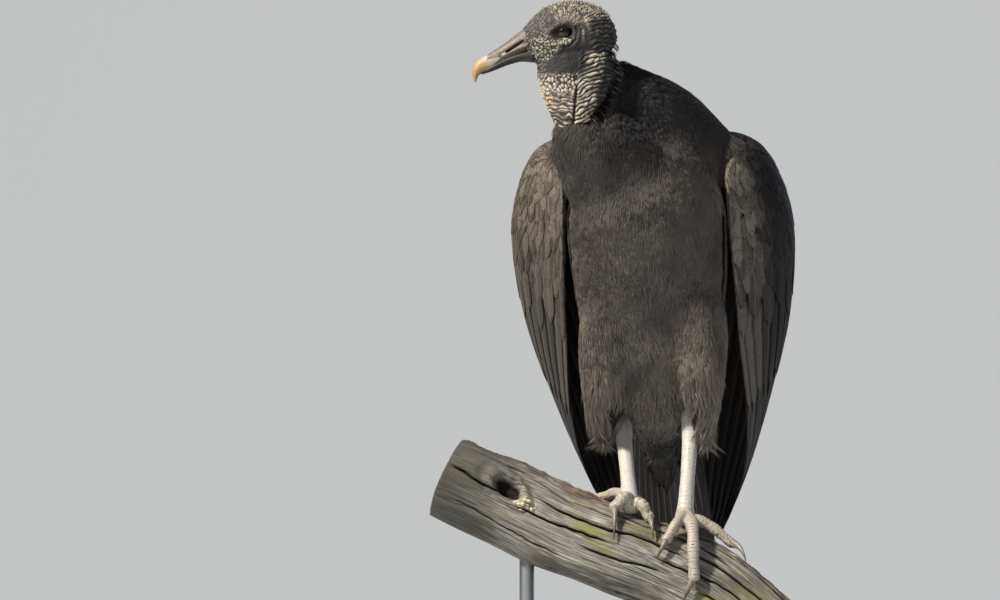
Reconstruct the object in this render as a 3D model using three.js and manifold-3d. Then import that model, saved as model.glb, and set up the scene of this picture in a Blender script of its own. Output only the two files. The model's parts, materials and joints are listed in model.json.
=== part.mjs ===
// A black vulture (Coragyps atratus) gripping a cut length of dead branch, life size, on a plain display
// stand. Millimetres, +Z up. The bird's breast faces -Y and its left side is +X. The object's origin is the
// centre of the stand's underside. Everything is drawn about the point between the feet, on top of the
// branch, and the whole group is then lifted to FEET_AT.
import * as THREE from "three";
import { mergeVertices } from "three/addons/utils/BufferGeometryUtils.js";
import Module from "manifold-3d";

const wasm = await Module();
wasm.setup();

// ---------------------------------------------------------------- driving dimensions

const FEET_AT = new THREE.Vector3(28, -30, 180); // the point between the feet, from the stand's origin
const GAP = 0.3; // clearance between neighbouring solids
const BODY_MIDDLE = -5; // the trunk, wings and tail are centred a little to the bird's right of the feet

const BASE = { width: 280, depth: 240, height: 18, corner: 26, bevel: 1.5 };
const ROD = { radius: 6, seat: 10, grip: 18, at: [-105, 50] };

const PERCH = {
  radius: 36,
  from: -168,
  to: 112,
  // heights of the branch's axis at equal steps from one end to the other
  heights: [31, 4, -22, -44, -73, -129],
  knot: { at: [-122, -38, 20], size: [12, 17, 9] },
};

const HEAD_AT = new THREE.Vector3(-64.6, -88, 371.4); // middle of the head, level with the eyes
const HEAD_TURN = THREE.MathUtils.degToRad(188); // the bill points to the bird's right, and a little forward

const EYE = { radius: 6.6, out: 9.8, socket: 9.5, socketOut: 20.5 };
const NOSTRIL = { from: [46, -15], to: [31, -5], height: 3.4 };

const WING = { across: 11, along: 14, edge: 1.0 };
const TAIL = { across: 12, along: 8, edge: 0.9 };

// ---------------------------------------------------------------- solids from three.js geometry

function weld(geometry) {
  geometry.deleteAttribute("normal");
  geometry.deleteAttribute("uv");
  return mergeVertices(geometry, 1e-4);
}

function signedVolume(points, index) {
  const a = new THREE.Vector3();
  const b = new THREE.Vector3();
  const c = new THREE.Vector3();
  let volume = 0;
  for (let i = 0; i < index.length; i += 3) {
    a.fromArray(points, index[i] * 3);
    b.fromArray(points, index[i + 1] * 3);
    c.fromArray(points, index[i + 2] * 3);
    volume += a.dot(b.cross(c)) / 6;
  }
  return volume;
}

// A closed geometry as a solid that can be joined and cut, with its faces turned to point out.
function solid(geometry) {
  const welded = weld(geometry);
  const points = welded.attributes.position.array;
  const triangles = Uint32Array.from(welded.index.array);
  if (signedVolume(points, triangles) < 0) {
    for (let i = 0; i < triangles.length; i += 3) {
      [triangles[i + 1], triangles[i + 2]] = [triangles[i + 2], triangles[i + 1]];
    }
  }
  return new wasm.Manifold(
    new wasm.Mesh({ numProp: 3, vertProperties: points, triVerts: triangles }),
  );
}

function joined(solids) {
  return solids.reduce((sum, next) => sum.add(next));
}

// The largest body of a solid, which drops the crumbs that a cut can leave.
function mainBody(made) {
  const bodies = made.decompose();
  return bodies.sort((a, b) => b.volume() - a.volume())[0];
}

// What cuts a piece's neighbours: the piece itself and the same piece a gap fatter.
function cutter(make) {
  return make(0).add(make(GAP));
}

function moved(made, matrix) {
  return made.transform(matrix.elements);
}

// A smooth value through equally spaced stations, for s from 0 to 1.
function through(values) {
  const curve = new THREE.CatmullRomCurve3(
    values.map((value) => new THREE.Vector3(value, 0, 0)),
    false,
    "catmullrom",
    0.5,
  );
  return (s) => curve.getPoint(THREE.MathUtils.clamp(s, 0, 1)).x;
}

// A cylinder whose vertices are moved to place(s, turn, r): s runs 0 to 1 along it, turn goes round it, and
// r is 0 at the middle of an end cap and 1 on the surface.
function formedTube(around, along, place) {
  const geometry = new THREE.CylinderGeometry(1, 1, 1, around, along);
  const position = geometry.attributes.position;
  for (let i = 0; i < position.count; i++) {
    const [x, y, z] = [position.getX(i), position.getY(i), position.getZ(i)];
    const point = place(0.5 - y, Math.atan2(x, z), Math.hypot(x, z) > 0.5 ? 1 : 0);
    position.setXYZ(i, point.x, point.y, point.z);
  }
  return geometry;
}

// A thin box whose vertices are moved to place(u, v, face): u and v run 0 to 1, and face is 1 on the outside
// of the panel and 0 on its inside.
function formedPanel(across, along, place) {
  const geometry = new THREE.BoxGeometry(1, 1, 1, across, along, 1);
  const position = geometry.attributes.position;
  for (let i = 0; i < position.count; i++) {
    const point = place(position.getX(i) + 0.5, position.getY(i) + 0.5, position.getZ(i) + 0.5);
    position.setXYZ(i, point.x, point.y, point.z);
  }
  return geometry;
}

// A body lofted through stations. Each has its centre `at`, its half width `wide` along `side`, and its reach
// to the `front` and `back` of the centre. Its rings are square to the axis, or to `normal` where that is
// given, which suits a fat body on a bent axis. `grow` makes the same body a little fatter, to cut its
// neighbours with.
function loft(stations, { around = 20, along = 12, side = [1, 0, 0], normal = null, grow = 0 } = {}) {
  const axis = new THREE.CatmullRomCurve3(stations.map((s) => new THREE.Vector3(...s.at)));
  const wide = through(stations.map((s) => s.wide));
  const front = through(stations.map((s) => s.front ?? s.wide));
  const back = through(stations.map((s) => s.back ?? s.front ?? s.wide));
  return solid(
    formedTube(around, along, (s, turn, r) => {
      const tangent = normal
        ? new THREE.Vector3(...normal)
        : axis.getTangent(THREE.MathUtils.clamp(s, 1e-4, 1 - 1e-4));
      const across = new THREE.Vector3(...side).projectOnPlane(tangent).normalize();
      const forward = new THREE.Vector3().crossVectors(tangent, across);
      const reach = (Math.cos(turn) > 0 ? front(s) : back(s)) + grow;
      const overrun = (s === 0 ? -grow : 0) + (s === 1 ? grow : 0);
      return axis
        .getPoint(s)
        .addScaledVector(across, r * Math.sin(turn) * (wide(s) + grow))
        .addScaledVector(forward, r * Math.cos(turn) * reach)
        .addScaledVector(tangent, overrun);
    }),
  );
}

// ---------------------------------------------------------------- the branch

const perchHeight = through(PERCH.heights);

// The branch's axis at x: its centre there and the way out of its top, square to the axis.
function perchFrame(x) {
  const s = (x - PERCH.from) / (PERCH.to - PERCH.from);
  const before = Math.max(s - 0.01, 0);
  const after = Math.min(s + 0.01, 1);
  const rise = perchHeight(after) - perchHeight(before);
  const run = (after - before) * (PERCH.to - PERCH.from);
  return {
    centre: new THREE.Vector3(x, 0, perchHeight(s)),
    up: new THREE.Vector3(-rise, 0, run).normalize(),
  };
}

// The branch's radius at x and at an angle from its top towards the bird's front: worn, slightly lumpy wood.
function perchRadius(x, angle) {
  const flutes = 1.0 * Math.sin(3 * angle + 0.012 * x) + 0.8 * Math.sin(5 * angle - 0.02 * x + 1);
  const lumps = 1.2 * Math.sin(0.045 * x + 2 * angle) + 0.7 * Math.sin(0.09 * x - angle);
  return PERCH.radius + flutes + lumps;
}

// A point held `clear` off the branch's surface.
function onPerch(x, angle, clear) {
  const { centre, up } = perchFrame(x);
  const out = perchRadius(x, angle) + clear;
  return centre
    .addScaledVector(up, out * Math.cos(angle))
    .add(new THREE.Vector3(0, -out * Math.sin(angle), 0));
}

function perchBody() {
  const wood = formedTube(16, 12, (s, turn, r) => {
    const x = THREE.MathUtils.lerp(PERCH.from, PERCH.to, s);
    if (r === 0) return perchFrame(x).centre;
    return onPerch(x, turn, 0);
  });
  const { at, size } = PERCH.knot;
  const hollow = new THREE.SphereGeometry(1, 8, 5)
    .scale(...size)
    .rotateY(0.45)
    .translate(...at);
  return solid(wood).subtract(solid(hollow));
}

// ---------------------------------------------------------------- the display stand

const FLOOR = -FEET_AT.z;

function rod(x, radius, from, to) {
  const bar = new THREE.CylinderGeometry(radius, radius, to - from, 12)
    .rotateX(Math.PI / 2)
    .translate(x, 0, (from + to) / 2);
  return solid(bar);
}

// How high a rod's end stands inside the branch.
function rodTop(x) {
  return onPerch(x, Math.PI, 0).z + ROD.grip;
}

function standBase() {
  const { width, depth, height, corner, bevel } = BASE;
  const [x, y] = [width / 2 - bevel, depth / 2 - bevel];
  const round = corner - bevel;
  const outline = new THREE.Shape()
    .moveTo(-x + round, -y)
    .lineTo(x - round, -y)
    .absarc(x - round, -y + round, round, -Math.PI / 2, 0)
    .absarc(x - round, y - round, round, 0, Math.PI / 2)
    .absarc(-x + round, y - round, round, Math.PI / 2, Math.PI)
    .absarc(-x + round, -y + round, round, Math.PI, 1.5 * Math.PI);
  const plate = new THREE.ExtrudeGeometry(outline, {
    depth: height - 2 * bevel,
    bevelSize: bevel,
    bevelThickness: bevel,
    bevelSegments: 1,
    curveSegments: 4,
  }).translate(-FEET_AT.x, -FEET_AT.y, FLOOR + bevel);
  const top = FLOOR + height;
  const seats = ROD.at.map((at) => rod(at, ROD.radius + GAP, top - ROD.seat - GAP, top + 1));
  return solid(plate).subtract(joined(seats));
}

// ---------------------------------------------------------------- trunk, neck and thighs

const TRUNK = [
  { at: [-6, -44, 300], wide: 28, front: 20, back: 24 },
  { at: [-4, -40, 282], wide: 50, front: 38, back: 46 },
  { at: [-1, -28, 250], wide: 64, front: 58, back: 60 },
  { at: [0, -8, 214], wide: 66, front: 66, back: 66 },
  { at: [0, 14, 178], wide: 63, front: 67, back: 62 },
  { at: [0, 36, 143], wide: 57, front: 69, back: 54 },
  { at: [0, 58, 108], wide: 44, front: 58, back: 44 },
  { at: [0, 72, 78], wide: 29, front: 32, back: 30 },
  { at: [1, 78, 57], wide: 16, front: 13, back: 24 },
  { at: [1, 79, 48], wide: 7, front: 6, back: 11 },
];

// The neck hangs in a loop: its front runs straight down from the head into the breast ...
const NECK_FRONT = [
  { at: [-56.5, -87, 327], wide: 17, front: 14.5 },
  { at: [-56.5, -86, 311], wide: 18.5, front: 16.5 },
  { at: [-54, -80, 297], wide: 24, front: 22 },
  { at: [-46, -68, 280], wide: 31, front: 30 },
  { at: [-33, -49, 257], wide: 38, front: 34 },
  { at: [-22, -32, 232], wide: 40, front: 34 },
  { at: [-14, -20, 205], wide: 42, front: 34 },
];
// ... and its ruffed nape humps up behind the head and slopes off over the shoulders.
const NECK_HUMP = [
  { at: [-31, -56, 358], wide: 7, front: 10 },
  { at: [-20, -42, 350], wide: 20, front: 26, back: 24 },
  { at: [-9, -27, 338], wide: 37, front: 48, back: 40 },
  { at: [-3, -13, 320], wide: 53, front: 62, back: 50 },
  { at: [1, -1, 299], wide: 66, front: 66, back: 54 },
  { at: [1, 4, 276], wide: 64, front: 66, back: 54 },
  { at: [0, 4, 252], wide: 58, front: 52, back: 50 },
];

const THIGHS = {
  right: [
    { at: [-34, -10, 172], wide: 30, front: 36 },
    { at: [-38, -10, 138], wide: 28, front: 38 },
    { at: [-41, -1, 107], wide: 23, front: 32 },
    { at: [-43, 13, 80], wide: 19, front: 24 },
    { at: [-44, 24, 60], wide: 15, front: 14 },
    { at: [-44, 27, 51], wide: 8, front: 6 },
  ],
  left: [
    { at: [30, -10, 172], wide: 30, front: 36 },
    { at: [34, -12, 138], wide: 28, front: 38 },
    { at: [36, -7, 107], wide: 22, front: 31 },
    { at: [37, 2, 80], wide: 17, front: 22 },
    { at: [38, 9, 57], wide: 11, front: 12 },
    { at: [38, 11, 46], wide: 6, front: 5 },
  ],
};

// The neck is parted from the trunk along a slanting plane through the bird's collar.
const COLLAR = { at: [-10, -20, 292], lean: 0.5 };

const inBody = new THREE.Matrix4().makeTranslation(BODY_MIDDLE, 0, 0);

function bodyAndNeck(grow = 0) {
  return joined([
    moved(loft(TRUNK, { around: 18, along: 11, grow }), inBody),
    loft(NECK_FRONT, { around: 14, along: 6, normal: [0, 0, -1], grow }),
    loft(NECK_HUMP, { around: 16, along: 8, normal: [0, 0, -1], grow }),
  ]);
}

// A block that fills one side of the collar's plane and half the gap there: side 1 is the neck's side and -1
// the trunk's.
function collarSide(side) {
  const size = 500;
  const block = new THREE.BoxGeometry(size, size, size)
    .translate(0, 0, side * (size / 2 - GAP / 2))
    .rotateX(COLLAR.lean)
    .translate(...COLLAR.at);
  return solid(block);
}

const thighBody = (name, grow = 0) => loft(THIGHS[name], { around: 14, along: 8, grow });

// ---------------------------------------------------------------- head and bill

// In the head's own frame x runs forward along the bill, y to the head's left and z up, from between the
// eyes.
const inHead = new THREE.Matrix4()
  .makeRotationZ(HEAD_TURN)
  .setPosition(HEAD_AT);

// Upright sections through the skull: how far forward, top, bottom and half width.
const SKULL = [
  [30, 5.5, -20, 8.5],
  [22, 13.5, -24.5, 12.5],
  [12, 21.5, -28, 15.5],
  [0, 27.2, -29, 17.5],
  [-12, 28, -28, 18],
  [-24, 22.5, -26, 17],
  [-34, 10, -21, 13],
  [-40, -3, -14, 6.5],
];
// Level sections through the bare neck: height, front, back and half width.
const BARE_NECK = [
  [6, 2, -24, 9],
  [-8, 10, -35.5, 14],
  [-20, 18.5, -41.5, 15.5],
  [-31, 21.5, -40.5, 15.5],
  [-42, 18.8, -36, 14.5],
  [-52, 15.4, -31, 14],
  [-64, 9.5, -26, 14],
];
const UPPER_BILL = [
  { at: [25, 0, -2], wide: 8.5, front: 10.4 },
  { at: [38, 0, -9.4], wide: 7.2, front: 7.9 },
  { at: [48, 0, -15.4], wide: 6, front: 6.9 },
  { at: [58, 0, -21.1], wide: 5.2, front: 6.2 },
  { at: [65, 0, -25.2], wide: 4.6, front: 5.4 },
  { at: [69, 0, -30], wide: 3.2, front: 3.3 },
  { at: [69.6, 0, -35], wide: 1.5, front: 1.5 },
  { at: [69.4, 0, -37.4], wide: 0.5, front: 0.5 },
];
const LOWER_BILL = [
  { at: [24, 0, -17.5], wide: 7.6, front: 5 },
  { at: [34, 0, -18.5], wide: 6.6, front: 3.4 },
  { at: [45, 0, -22], wide: 5.2, front: 2.9 },
  { at: [56, 0, -27.2], wide: 4.2, front: 2.2 },
  { at: [64.5, 0, -31.2], wide: 2.4, front: 1.2 },
];

function headBody(grow = 0) {
  const skull = SKULL.map(([x, top, bottom, half]) => ({
    at: [x, 0, (top + bottom) / 2],
    wide: half,
    front: (top - bottom) / 2,
  }));
  const neck = BARE_NECK.map(([z, front, back, half]) => ({
    at: [(front + back) / 2, 0, z],
    wide: half,
    front: (front - back) / 2,
  }));
  const side = [0, 1, 0];
  return joined([
    loft(skull, { around: 18, along: 9, side, grow }),
    loft(neck, { around: 14, along: 7, side, grow }),
  ]);
}

function ball(radius, at, wide = 10, high = 7) {
  return solid(new THREE.SphereGeometry(radius, wide, high).rotateX(Math.PI / 2).translate(...at));
}

// Each eye sits in a socket that opens outwards, its front just inside the head's side.
function eyeBody(hand, grow = 0) {
  return ball(EYE.radius + grow, [0, hand * EYE.out, 0]);
}

function socketBody(hand) {
  const funnel = ball(EYE.socket, [0, hand * EYE.socketOut, 0], 10, 6);
  return funnel.add(eyeBody(hand, GAP));
}

// The slit nostril passes right through the upper bill.
function nostrilBody() {
  const from = new THREE.Vector2(...NOSTRIL.from);
  const to = new THREE.Vector2(...NOSTRIL.to);
  const radius = NOSTRIL.height / 2;
  const angle = to.clone().sub(from).angle();
  const slit = new THREE.Shape()
    .absarc(from.x, from.y, radius, angle + Math.PI / 2, angle + 1.5 * Math.PI)
    .absarc(to.x, to.y, radius, angle - Math.PI / 2, angle + Math.PI / 2);
  const slot = new THREE.ExtrudeGeometry(slit, { depth: 40, bevelEnabled: false, curveSegments: 5 })
    .rotateX(Math.PI / 2)
    .translate(0, 20, 0);
  return solid(slot);
}

function billBody(stations, grow = 0) {
  return loft(stations, { around: 9, along: 8, side: [0, 1, 0], grow });
}

// ---------------------------------------------------------------- wings and tail

// Each list holds values at equal steps from the bent wrist down to the wing's tip, on the bird's left, from
// the middle of the body. `lead` is the wing's front edge, `outer` its widest line and `top` the edge on the
// back.
const WING_LINES = {
  leadX: through([66, 69, 71, 74, 67, 38]),
  leadY: through([-44, -20, 26, 88, 158, 226]),
  leadZ: through([281, 208, 142, 86, 38, -20]),
  outerX: through([94, 116, 112.5, 95, 71.5, 40]),
  outerY: through([-14, 22, 68, 120, 174, 228]),
  outerZ: through([303, 240, 174, 113, 50, -18]),
  topX: through([40, 30, 20, 14, 16, 22]),
  topY: through([4, 48, 88, 124, 166, 217]),
  topZ: through([322, 284, 224, 155, 80, -10]),
  bulge: through([10, 26, 28, 20, 10, 1]),
  thick: through([28, 24, 12, 8, 4.5, 1.4]),
};
const WING_OUTWARD = new THREE.Vector3(0.72, 0.5, 0.48).normalize();

// How far down the wing its feathers reach, from the front edge (u = 0) to the back edge (u = 1): the
// outermost primary is shorter and leaves a notch, and each tip is rounded.
const PRIMARIES = [
  { from: 0, to: 0.16, end: 0.868 },
  { from: 0.16, to: 0.34, end: 0.965 },
  { from: 0.34, to: 0.56, end: 1 },
  { from: 0.56, to: 0.78, end: 0.985 },
  { from: 0.78, to: 1, end: 0.955 },
];

// The bent wrist is rounded: the wing's top end closes towards a point inside it.
const WRIST = { at: [72, -12, 284], length: 0.1, close: 0.55 };

function featherEnd(feathers, u, roundness) {
  const feather = feathers.find((f) => u <= f.to + 1e-9);
  const across = (u - feather.from) / (feather.to - feather.from);
  return feather.end - roundness * (2 * across - 1) ** 2;
}

function wingSurface(u, v) {
  const w = WING_LINES;
  const lead = new THREE.Vector3(w.leadX(v), w.leadY(v), w.leadZ(v));
  const outer = new THREE.Vector3(w.outerX(v), w.outerY(v), w.outerZ(v));
  const top = new THREE.Vector3(w.topX(v), w.topY(v), w.topZ(v));
  const back = outer.clone().lerp(top, 0.5).addScaledVector(WING_OUTWARD, w.bulge(v));
  return new THREE.CatmullRomCurve3([lead, outer, back, top]).getPoint(u);
}

function wingBody() {
  const around = (u, v) => {
    const step = 0.01;
    const alongWing = wingSurface(u, Math.min(v + step, 1)).sub(wingSurface(u, Math.max(v - step, 0)));
    const acrossWing = wingSurface(Math.min(u + step, 1), v).sub(wingSurface(Math.max(u - step, 0), v));
    return new THREE.Vector3().crossVectors(alongWing, acrossWing).normalize();
  };
  return solid(
    formedPanel(WING.across, WING.along, (across, down, face) => {
      const u = across ** 1.25;
      const v = down * featherEnd(PRIMARIES, u, 0.012);
      const nose = Math.sqrt(Math.min(1, u / 0.16));
      const crown = Math.sqrt(1 - (1 - Math.min(1, down / WRIST.length)) ** 2);
      const backHalf = THREE.MathUtils.smoothstep(u, 0.45, 1);
      const belowWrist = THREE.MathUtils.smoothstep(v, 0.1, 0.3);
      const taper = 1 - 0.55 * backHalf * belowWrist;
      const thick = WING.edge + (WING_LINES.thick(v) - WING.edge) * nose * taper;
      return wingSurface(u, v)
        .addScaledVector(around(u, v), -thick * (1 - face))
        .lerp(new THREE.Vector3(...WRIST.at), WRIST.close * (1 - crown));
    }),
  );
}

const TAIL_LINES = {
  middle: new THREE.CatmullRomCurve3([
    new THREE.Vector3(0, 72, 132),
    new THREE.Vector3(0, 118, 86),
    new THREE.Vector3(0, 178, 27),
    new THREE.Vector3(0, 240, -38),
  ]),
  half: through([24, 30, 36, 40]),
  droop: through([12, 9, 7, 6]),
  thick: through([38, 24, 7, 1.6]),
};
const RECTRICES = [0, 1, 2, 3, 4, 5].map((i) => ({
  from: i / 6,
  to: (i + 1) / 6,
  end: [0.975, 0.99, 1, 1, 0.99, 0.975][i],
}));

function tailBody(grow = 0) {
  const t = TAIL_LINES;
  const panel = formedPanel(TAIL.across, TAIL.along, (u, down, face) => {
    const v = down * featherEnd(RECTRICES, u, 0.018);
    const side = 2 * u - 1;
    const tangent = t.middle.getTangent(v);
    const above = new THREE.Vector3(1, 0, 0).cross(tangent).negate();
    const edge = Math.sqrt(Math.max(0, 1 - side ** 2));
    const thick = TAIL.edge + (t.thick(v) - TAIL.edge) * edge;
    const level = -t.droop(v) * side ** 2 - thick * (1 - face) + grow * (2 * face - 1);
    return t.middle
      .getPoint(v)
      .add(new THREE.Vector3((t.half(v) + grow) * side, 0, 0))
      .addScaledVector(above.z > 0 ? above : above.negate(), level);
  });
  return solid(panel);
}

const mirrored = new THREE.Matrix4().makeScale(-1, 1, 1);

// ---------------------------------------------------------------- legs, feet and claws

const LEGS = {
  right: {
    heel: [-31, 38, 75],
    joint: { x: -33, angle: 0.42, lift: 6.5 },
    toes: {
      middle: { x: -43, angle: 0.66, out: 5.2, in: 4.6, arch: 8, claw: { x: -34, angle: 1.36 } },
      inner: { x: -17, angle: 0.56, out: 5, in: 4.2, arch: 6, claw: { x: -8, angle: 1.04 } },
      outer: { x: -62, angle: -0.52, out: 4.8, in: 3.8, arch: 3, claw: { x: -70, angle: -0.86 } },
      hind: { x: -27, angle: -0.82, out: 4.6, in: 3.8, arch: 4, claw: { x: -22, angle: -1.25 } },
    },
  },
  left: {
    heel: [27, 20, 77],
    joint: { x: 4, angle: 0.06, lift: 8.5 },
    toes: {
      middle: { x: 30, angle: 1.46, out: 5.4, in: 4.4, arch: 4, claw: { x: 30, angle: 1.98 } },
      inner: { x: 1, angle: 0.98, out: 4.8, in: 3.8, arch: 3, claw: { x: 0, angle: 1.38 } },
      outer: { x: 39, angle: 0.04, out: 5, in: 3.9, arch: 2, claw: { x: 51, angle: 0.4 } },
      hind: { x: 14, angle: -0.85, out: 4.6, in: 3.8, arch: 4, claw: { x: 20, angle: -1.3 } },
    },
  },
};
const CLAW = { root: 3.5, tip: 0.5, hook: 4.5 };

const jointOf = (leg) => onPerch(leg.joint.x, leg.joint.angle, leg.joint.lift);

// A toe runs over the bark from the foot's joint to its last knuckle, arched a little off the wood.
function toePath(leg, toe) {
  const points = [];
  const steps = 6;
  for (let i = 0; i <= steps; i++) {
    const s = i / steps;
    const x = THREE.MathUtils.lerp(leg.joint.x, toe.x, s);
    const angle = THREE.MathUtils.lerp(leg.joint.angle, toe.angle, s);
    const arch = toe.arch * Math.sin(Math.PI * s) ** 2;
    const clear = THREE.MathUtils.lerp(leg.joint.lift, toe.in + GAP, s) + arch;
    points.push(onPerch(x, angle, clear));
  }
  return new THREE.CatmullRomCurve3(points);
}

// A tube along a path, with its radius given along it.
function tubeAlong(path, radius, { around = 7, along = 6, grow = 0 } = {}) {
  const frames = path.computeFrenetFrames(along, false);
  return solid(
    formedTube(around, along, (s, turn, r) => {
      const i = Math.round(s * along);
      const overrun = (s === 0 ? -grow : 0) + (s === 1 ? grow : 0);
      return path
        .getPointAt(s)
        .addScaledVector(frames.normals[i], r * Math.cos(turn) * (radius(s) + grow))
        .addScaledVector(frames.binormals[i], r * Math.sin(turn) * (radius(s) + grow))
        .addScaledVector(frames.tangents[i], overrun);
    }),
  );
}

function toeBody(leg, toe, grow) {
  const knuckles = (s) => 1 + 0.07 * Math.cos(6 * Math.PI * s);
  const radius = (s) => THREE.MathUtils.lerp(toe.out, toe.in, s) * knuckles(s);
  return tubeAlong(toePath(leg, toe), radius, { grow });
}

function footBody(leg, grow = 0) {
  const joint = ball(8.2 + grow, jointOf(leg).toArray(), 8, 6);
  return joined([joint, ...Object.values(leg.toes).map((toe) => toeBody(leg, toe, grow))]);
}

// A claw leaves the toe's tip and hooks down to the bark.
function clawBody(leg, toe) {
  const root = toePath(leg, toe).getPoint(1);
  const tip = onPerch(toe.claw.x, toe.claw.angle, CLAW.tip + 1);
  const middle = onPerch(
    (toe.x + toe.claw.x) / 2,
    (toe.angle + toe.claw.angle) / 2,
    CLAW.hook + CLAW.root,
  );
  const path = new THREE.QuadraticBezierCurve3(root, middle, tip);
  const radius = (s) => THREE.MathUtils.lerp(CLAW.root, CLAW.tip, s ** 0.85);
  return tubeAlong(path, radius, { around: 5, along: 4 });
}

function shankBody(leg, grow = 0) {
  const joint = jointOf(leg);
  const heel = new THREE.Vector3(...leg.heel);
  const down = joint.clone().sub(heel);
  const along = (s) => heel.clone().addScaledVector(down, s).toArray();
  return loft(
    [
      { at: along(-0.16), wide: 5 },
      { at: along(-0.04), wide: 8.2, front: 8.4 },
      { at: along(0.1), wide: 7.9, front: 7.8 },
      { at: along(0.28), wide: 6.5, front: 6.5 },
      { at: along(0.62), wide: 6, front: 6.2 },
      { at: along(0.86), wide: 6.6, front: 6.7 },
      { at: along(1), wide: 7.6, front: 7.2 },
    ],
    { around: 8, along: 7, grow },
  );
}

// ---------------------------------------------------------------- the pieces, cut clear of each other

function meshOf(name, made, color, roughness, metalness = 0) {
  const body = mainBody(made).getMesh();
  const geometry = new THREE.BufferGeometry();
  const points = new Float32Array(body.numVert * 3);
  for (let i = 0; i < body.numVert; i++) {
    points.set(body.vertProperties.subarray(i * body.numProp, i * body.numProp + 3), i * 3);
  }
  geometry.setAttribute("position", new THREE.BufferAttribute(points, 3));
  geometry.setIndex(new THREE.BufferAttribute(body.triVerts, 1));
  const material = new THREE.MeshStandardMaterial({ color, roughness, metalness });
  const mesh = new THREE.Mesh(geometry, material);
  mesh.name = name;
  return mesh;
}

const PLUMAGE = 0x1d1a1b;
const FLIGHT_FEATHERS = 0x19171b;
const FACE = 0x4a4644;
const LEG_SKIN = 0xc9c4bb;
const TOE_SKIN = 0x9c9184;
const HORN = 0xcfc0ab;
const CLAW_HORN = 0x4b443e;
const EYE_BROWN = 0x1a1210;
const DEAD_WOOD = 0x9b948a;
const STAND_PAINT = 0x2b2b2d;
const STEEL = 0xb8bbbf;

const vulture = new THREE.Group();
vulture.position.copy(FEET_AT);
const add = (...piece) => vulture.add(meshOf(...piece));

const head = moved(headBody(), inHead);
const headCutter = moved(cutter(headBody), inHead);
const bodyCutter = cutter(bodyAndNeck);
const tailCutter = moved(cutter(tailBody), inBody);
const sockets = moved(socketBody(1).add(socketBody(-1)), inHead);
const upperBill = (grow) => moved(billBody(UPPER_BILL, grow), inHead);
const lowerBill = moved(billBody(LOWER_BILL), inHead);

add("head", head.subtract(sockets), FACE, 0.7);
add("eye_left", moved(eyeBody(1), inHead), EYE_BROWN, 0.1);
add("eye_right", moved(eyeBody(-1), inHead), EYE_BROWN, 0.1);
add("bill_upper", upperBill(0).subtract(headCutter).subtract(moved(nostrilBody(), inHead)), HORN, 0.45);
add("bill_lower", lowerBill.subtract(headCutter).subtract(cutter(upperBill)), HORN, 0.5);
add("neck", bodyAndNeck().subtract(headCutter).subtract(collarSide(-1)), PLUMAGE, 0.85);
add("trunk", bodyAndNeck().subtract(collarSide(1)), PLUMAGE, 0.85);
add("tail", moved(tailBody(), inBody).subtract(bodyCutter), FLIGHT_FEATHERS, 0.6);

const feet = [];
for (const [name, leg] of Object.entries(LEGS)) {
  const hand = name === "left" ? new THREE.Matrix4() : mirrored;
  const wing = moved(moved(wingBody(), hand), inBody);
  const thighCutter = cutter((grow) => thighBody(name, grow));
  const footCutter = cutter((grow) => footBody(leg, grow));
  feet.push(footCutter);
  add(
    `wing_${name}`,
    wing.subtract(joined([bodyCutter, thighCutter, tailCutter])),
    FLIGHT_FEATHERS,
    0.6,
  );
  add(`thigh_${name}`, thighBody(name).subtract(bodyCutter), PLUMAGE, 0.85);
  add(
    `shank_${name}`,
    shankBody(leg).subtract(joined([thighCutter, bodyCutter, footCutter])),
    LEG_SKIN,
    0.7,
  );
  add(`foot_${name}`, footBody(leg), TOE_SKIN, 0.7);
  for (const [toeName, toe] of Object.entries(leg.toes)) {
    add(`claw_${name}_${toeName}`, clawBody(leg, toe).subtract(footCutter), CLAW_HORN, 0.4);
  }
}

const bores = ROD.at.map((at) => rod(at, ROD.radius + GAP, FLOOR, rodTop(at) + GAP));
add("perch", perchBody().subtract(joined([...feet, ...bores])), DEAD_WOOD, 0.9);
add("stand_base", standBase(), STAND_PAINT, 0.5);
ROD.at.forEach((at, i) => {
  const from = FLOOR + BASE.height - ROD.seat;
  add(`stand_rod_${i + 1}`, rod(at, ROD.radius, from, rodTop(at)), STEEL, 0.3, 1);
});

export default vulture;
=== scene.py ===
import json
import math

import bpy
import numpy as np
from mathutils import Matrix, Vector, noise

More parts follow.
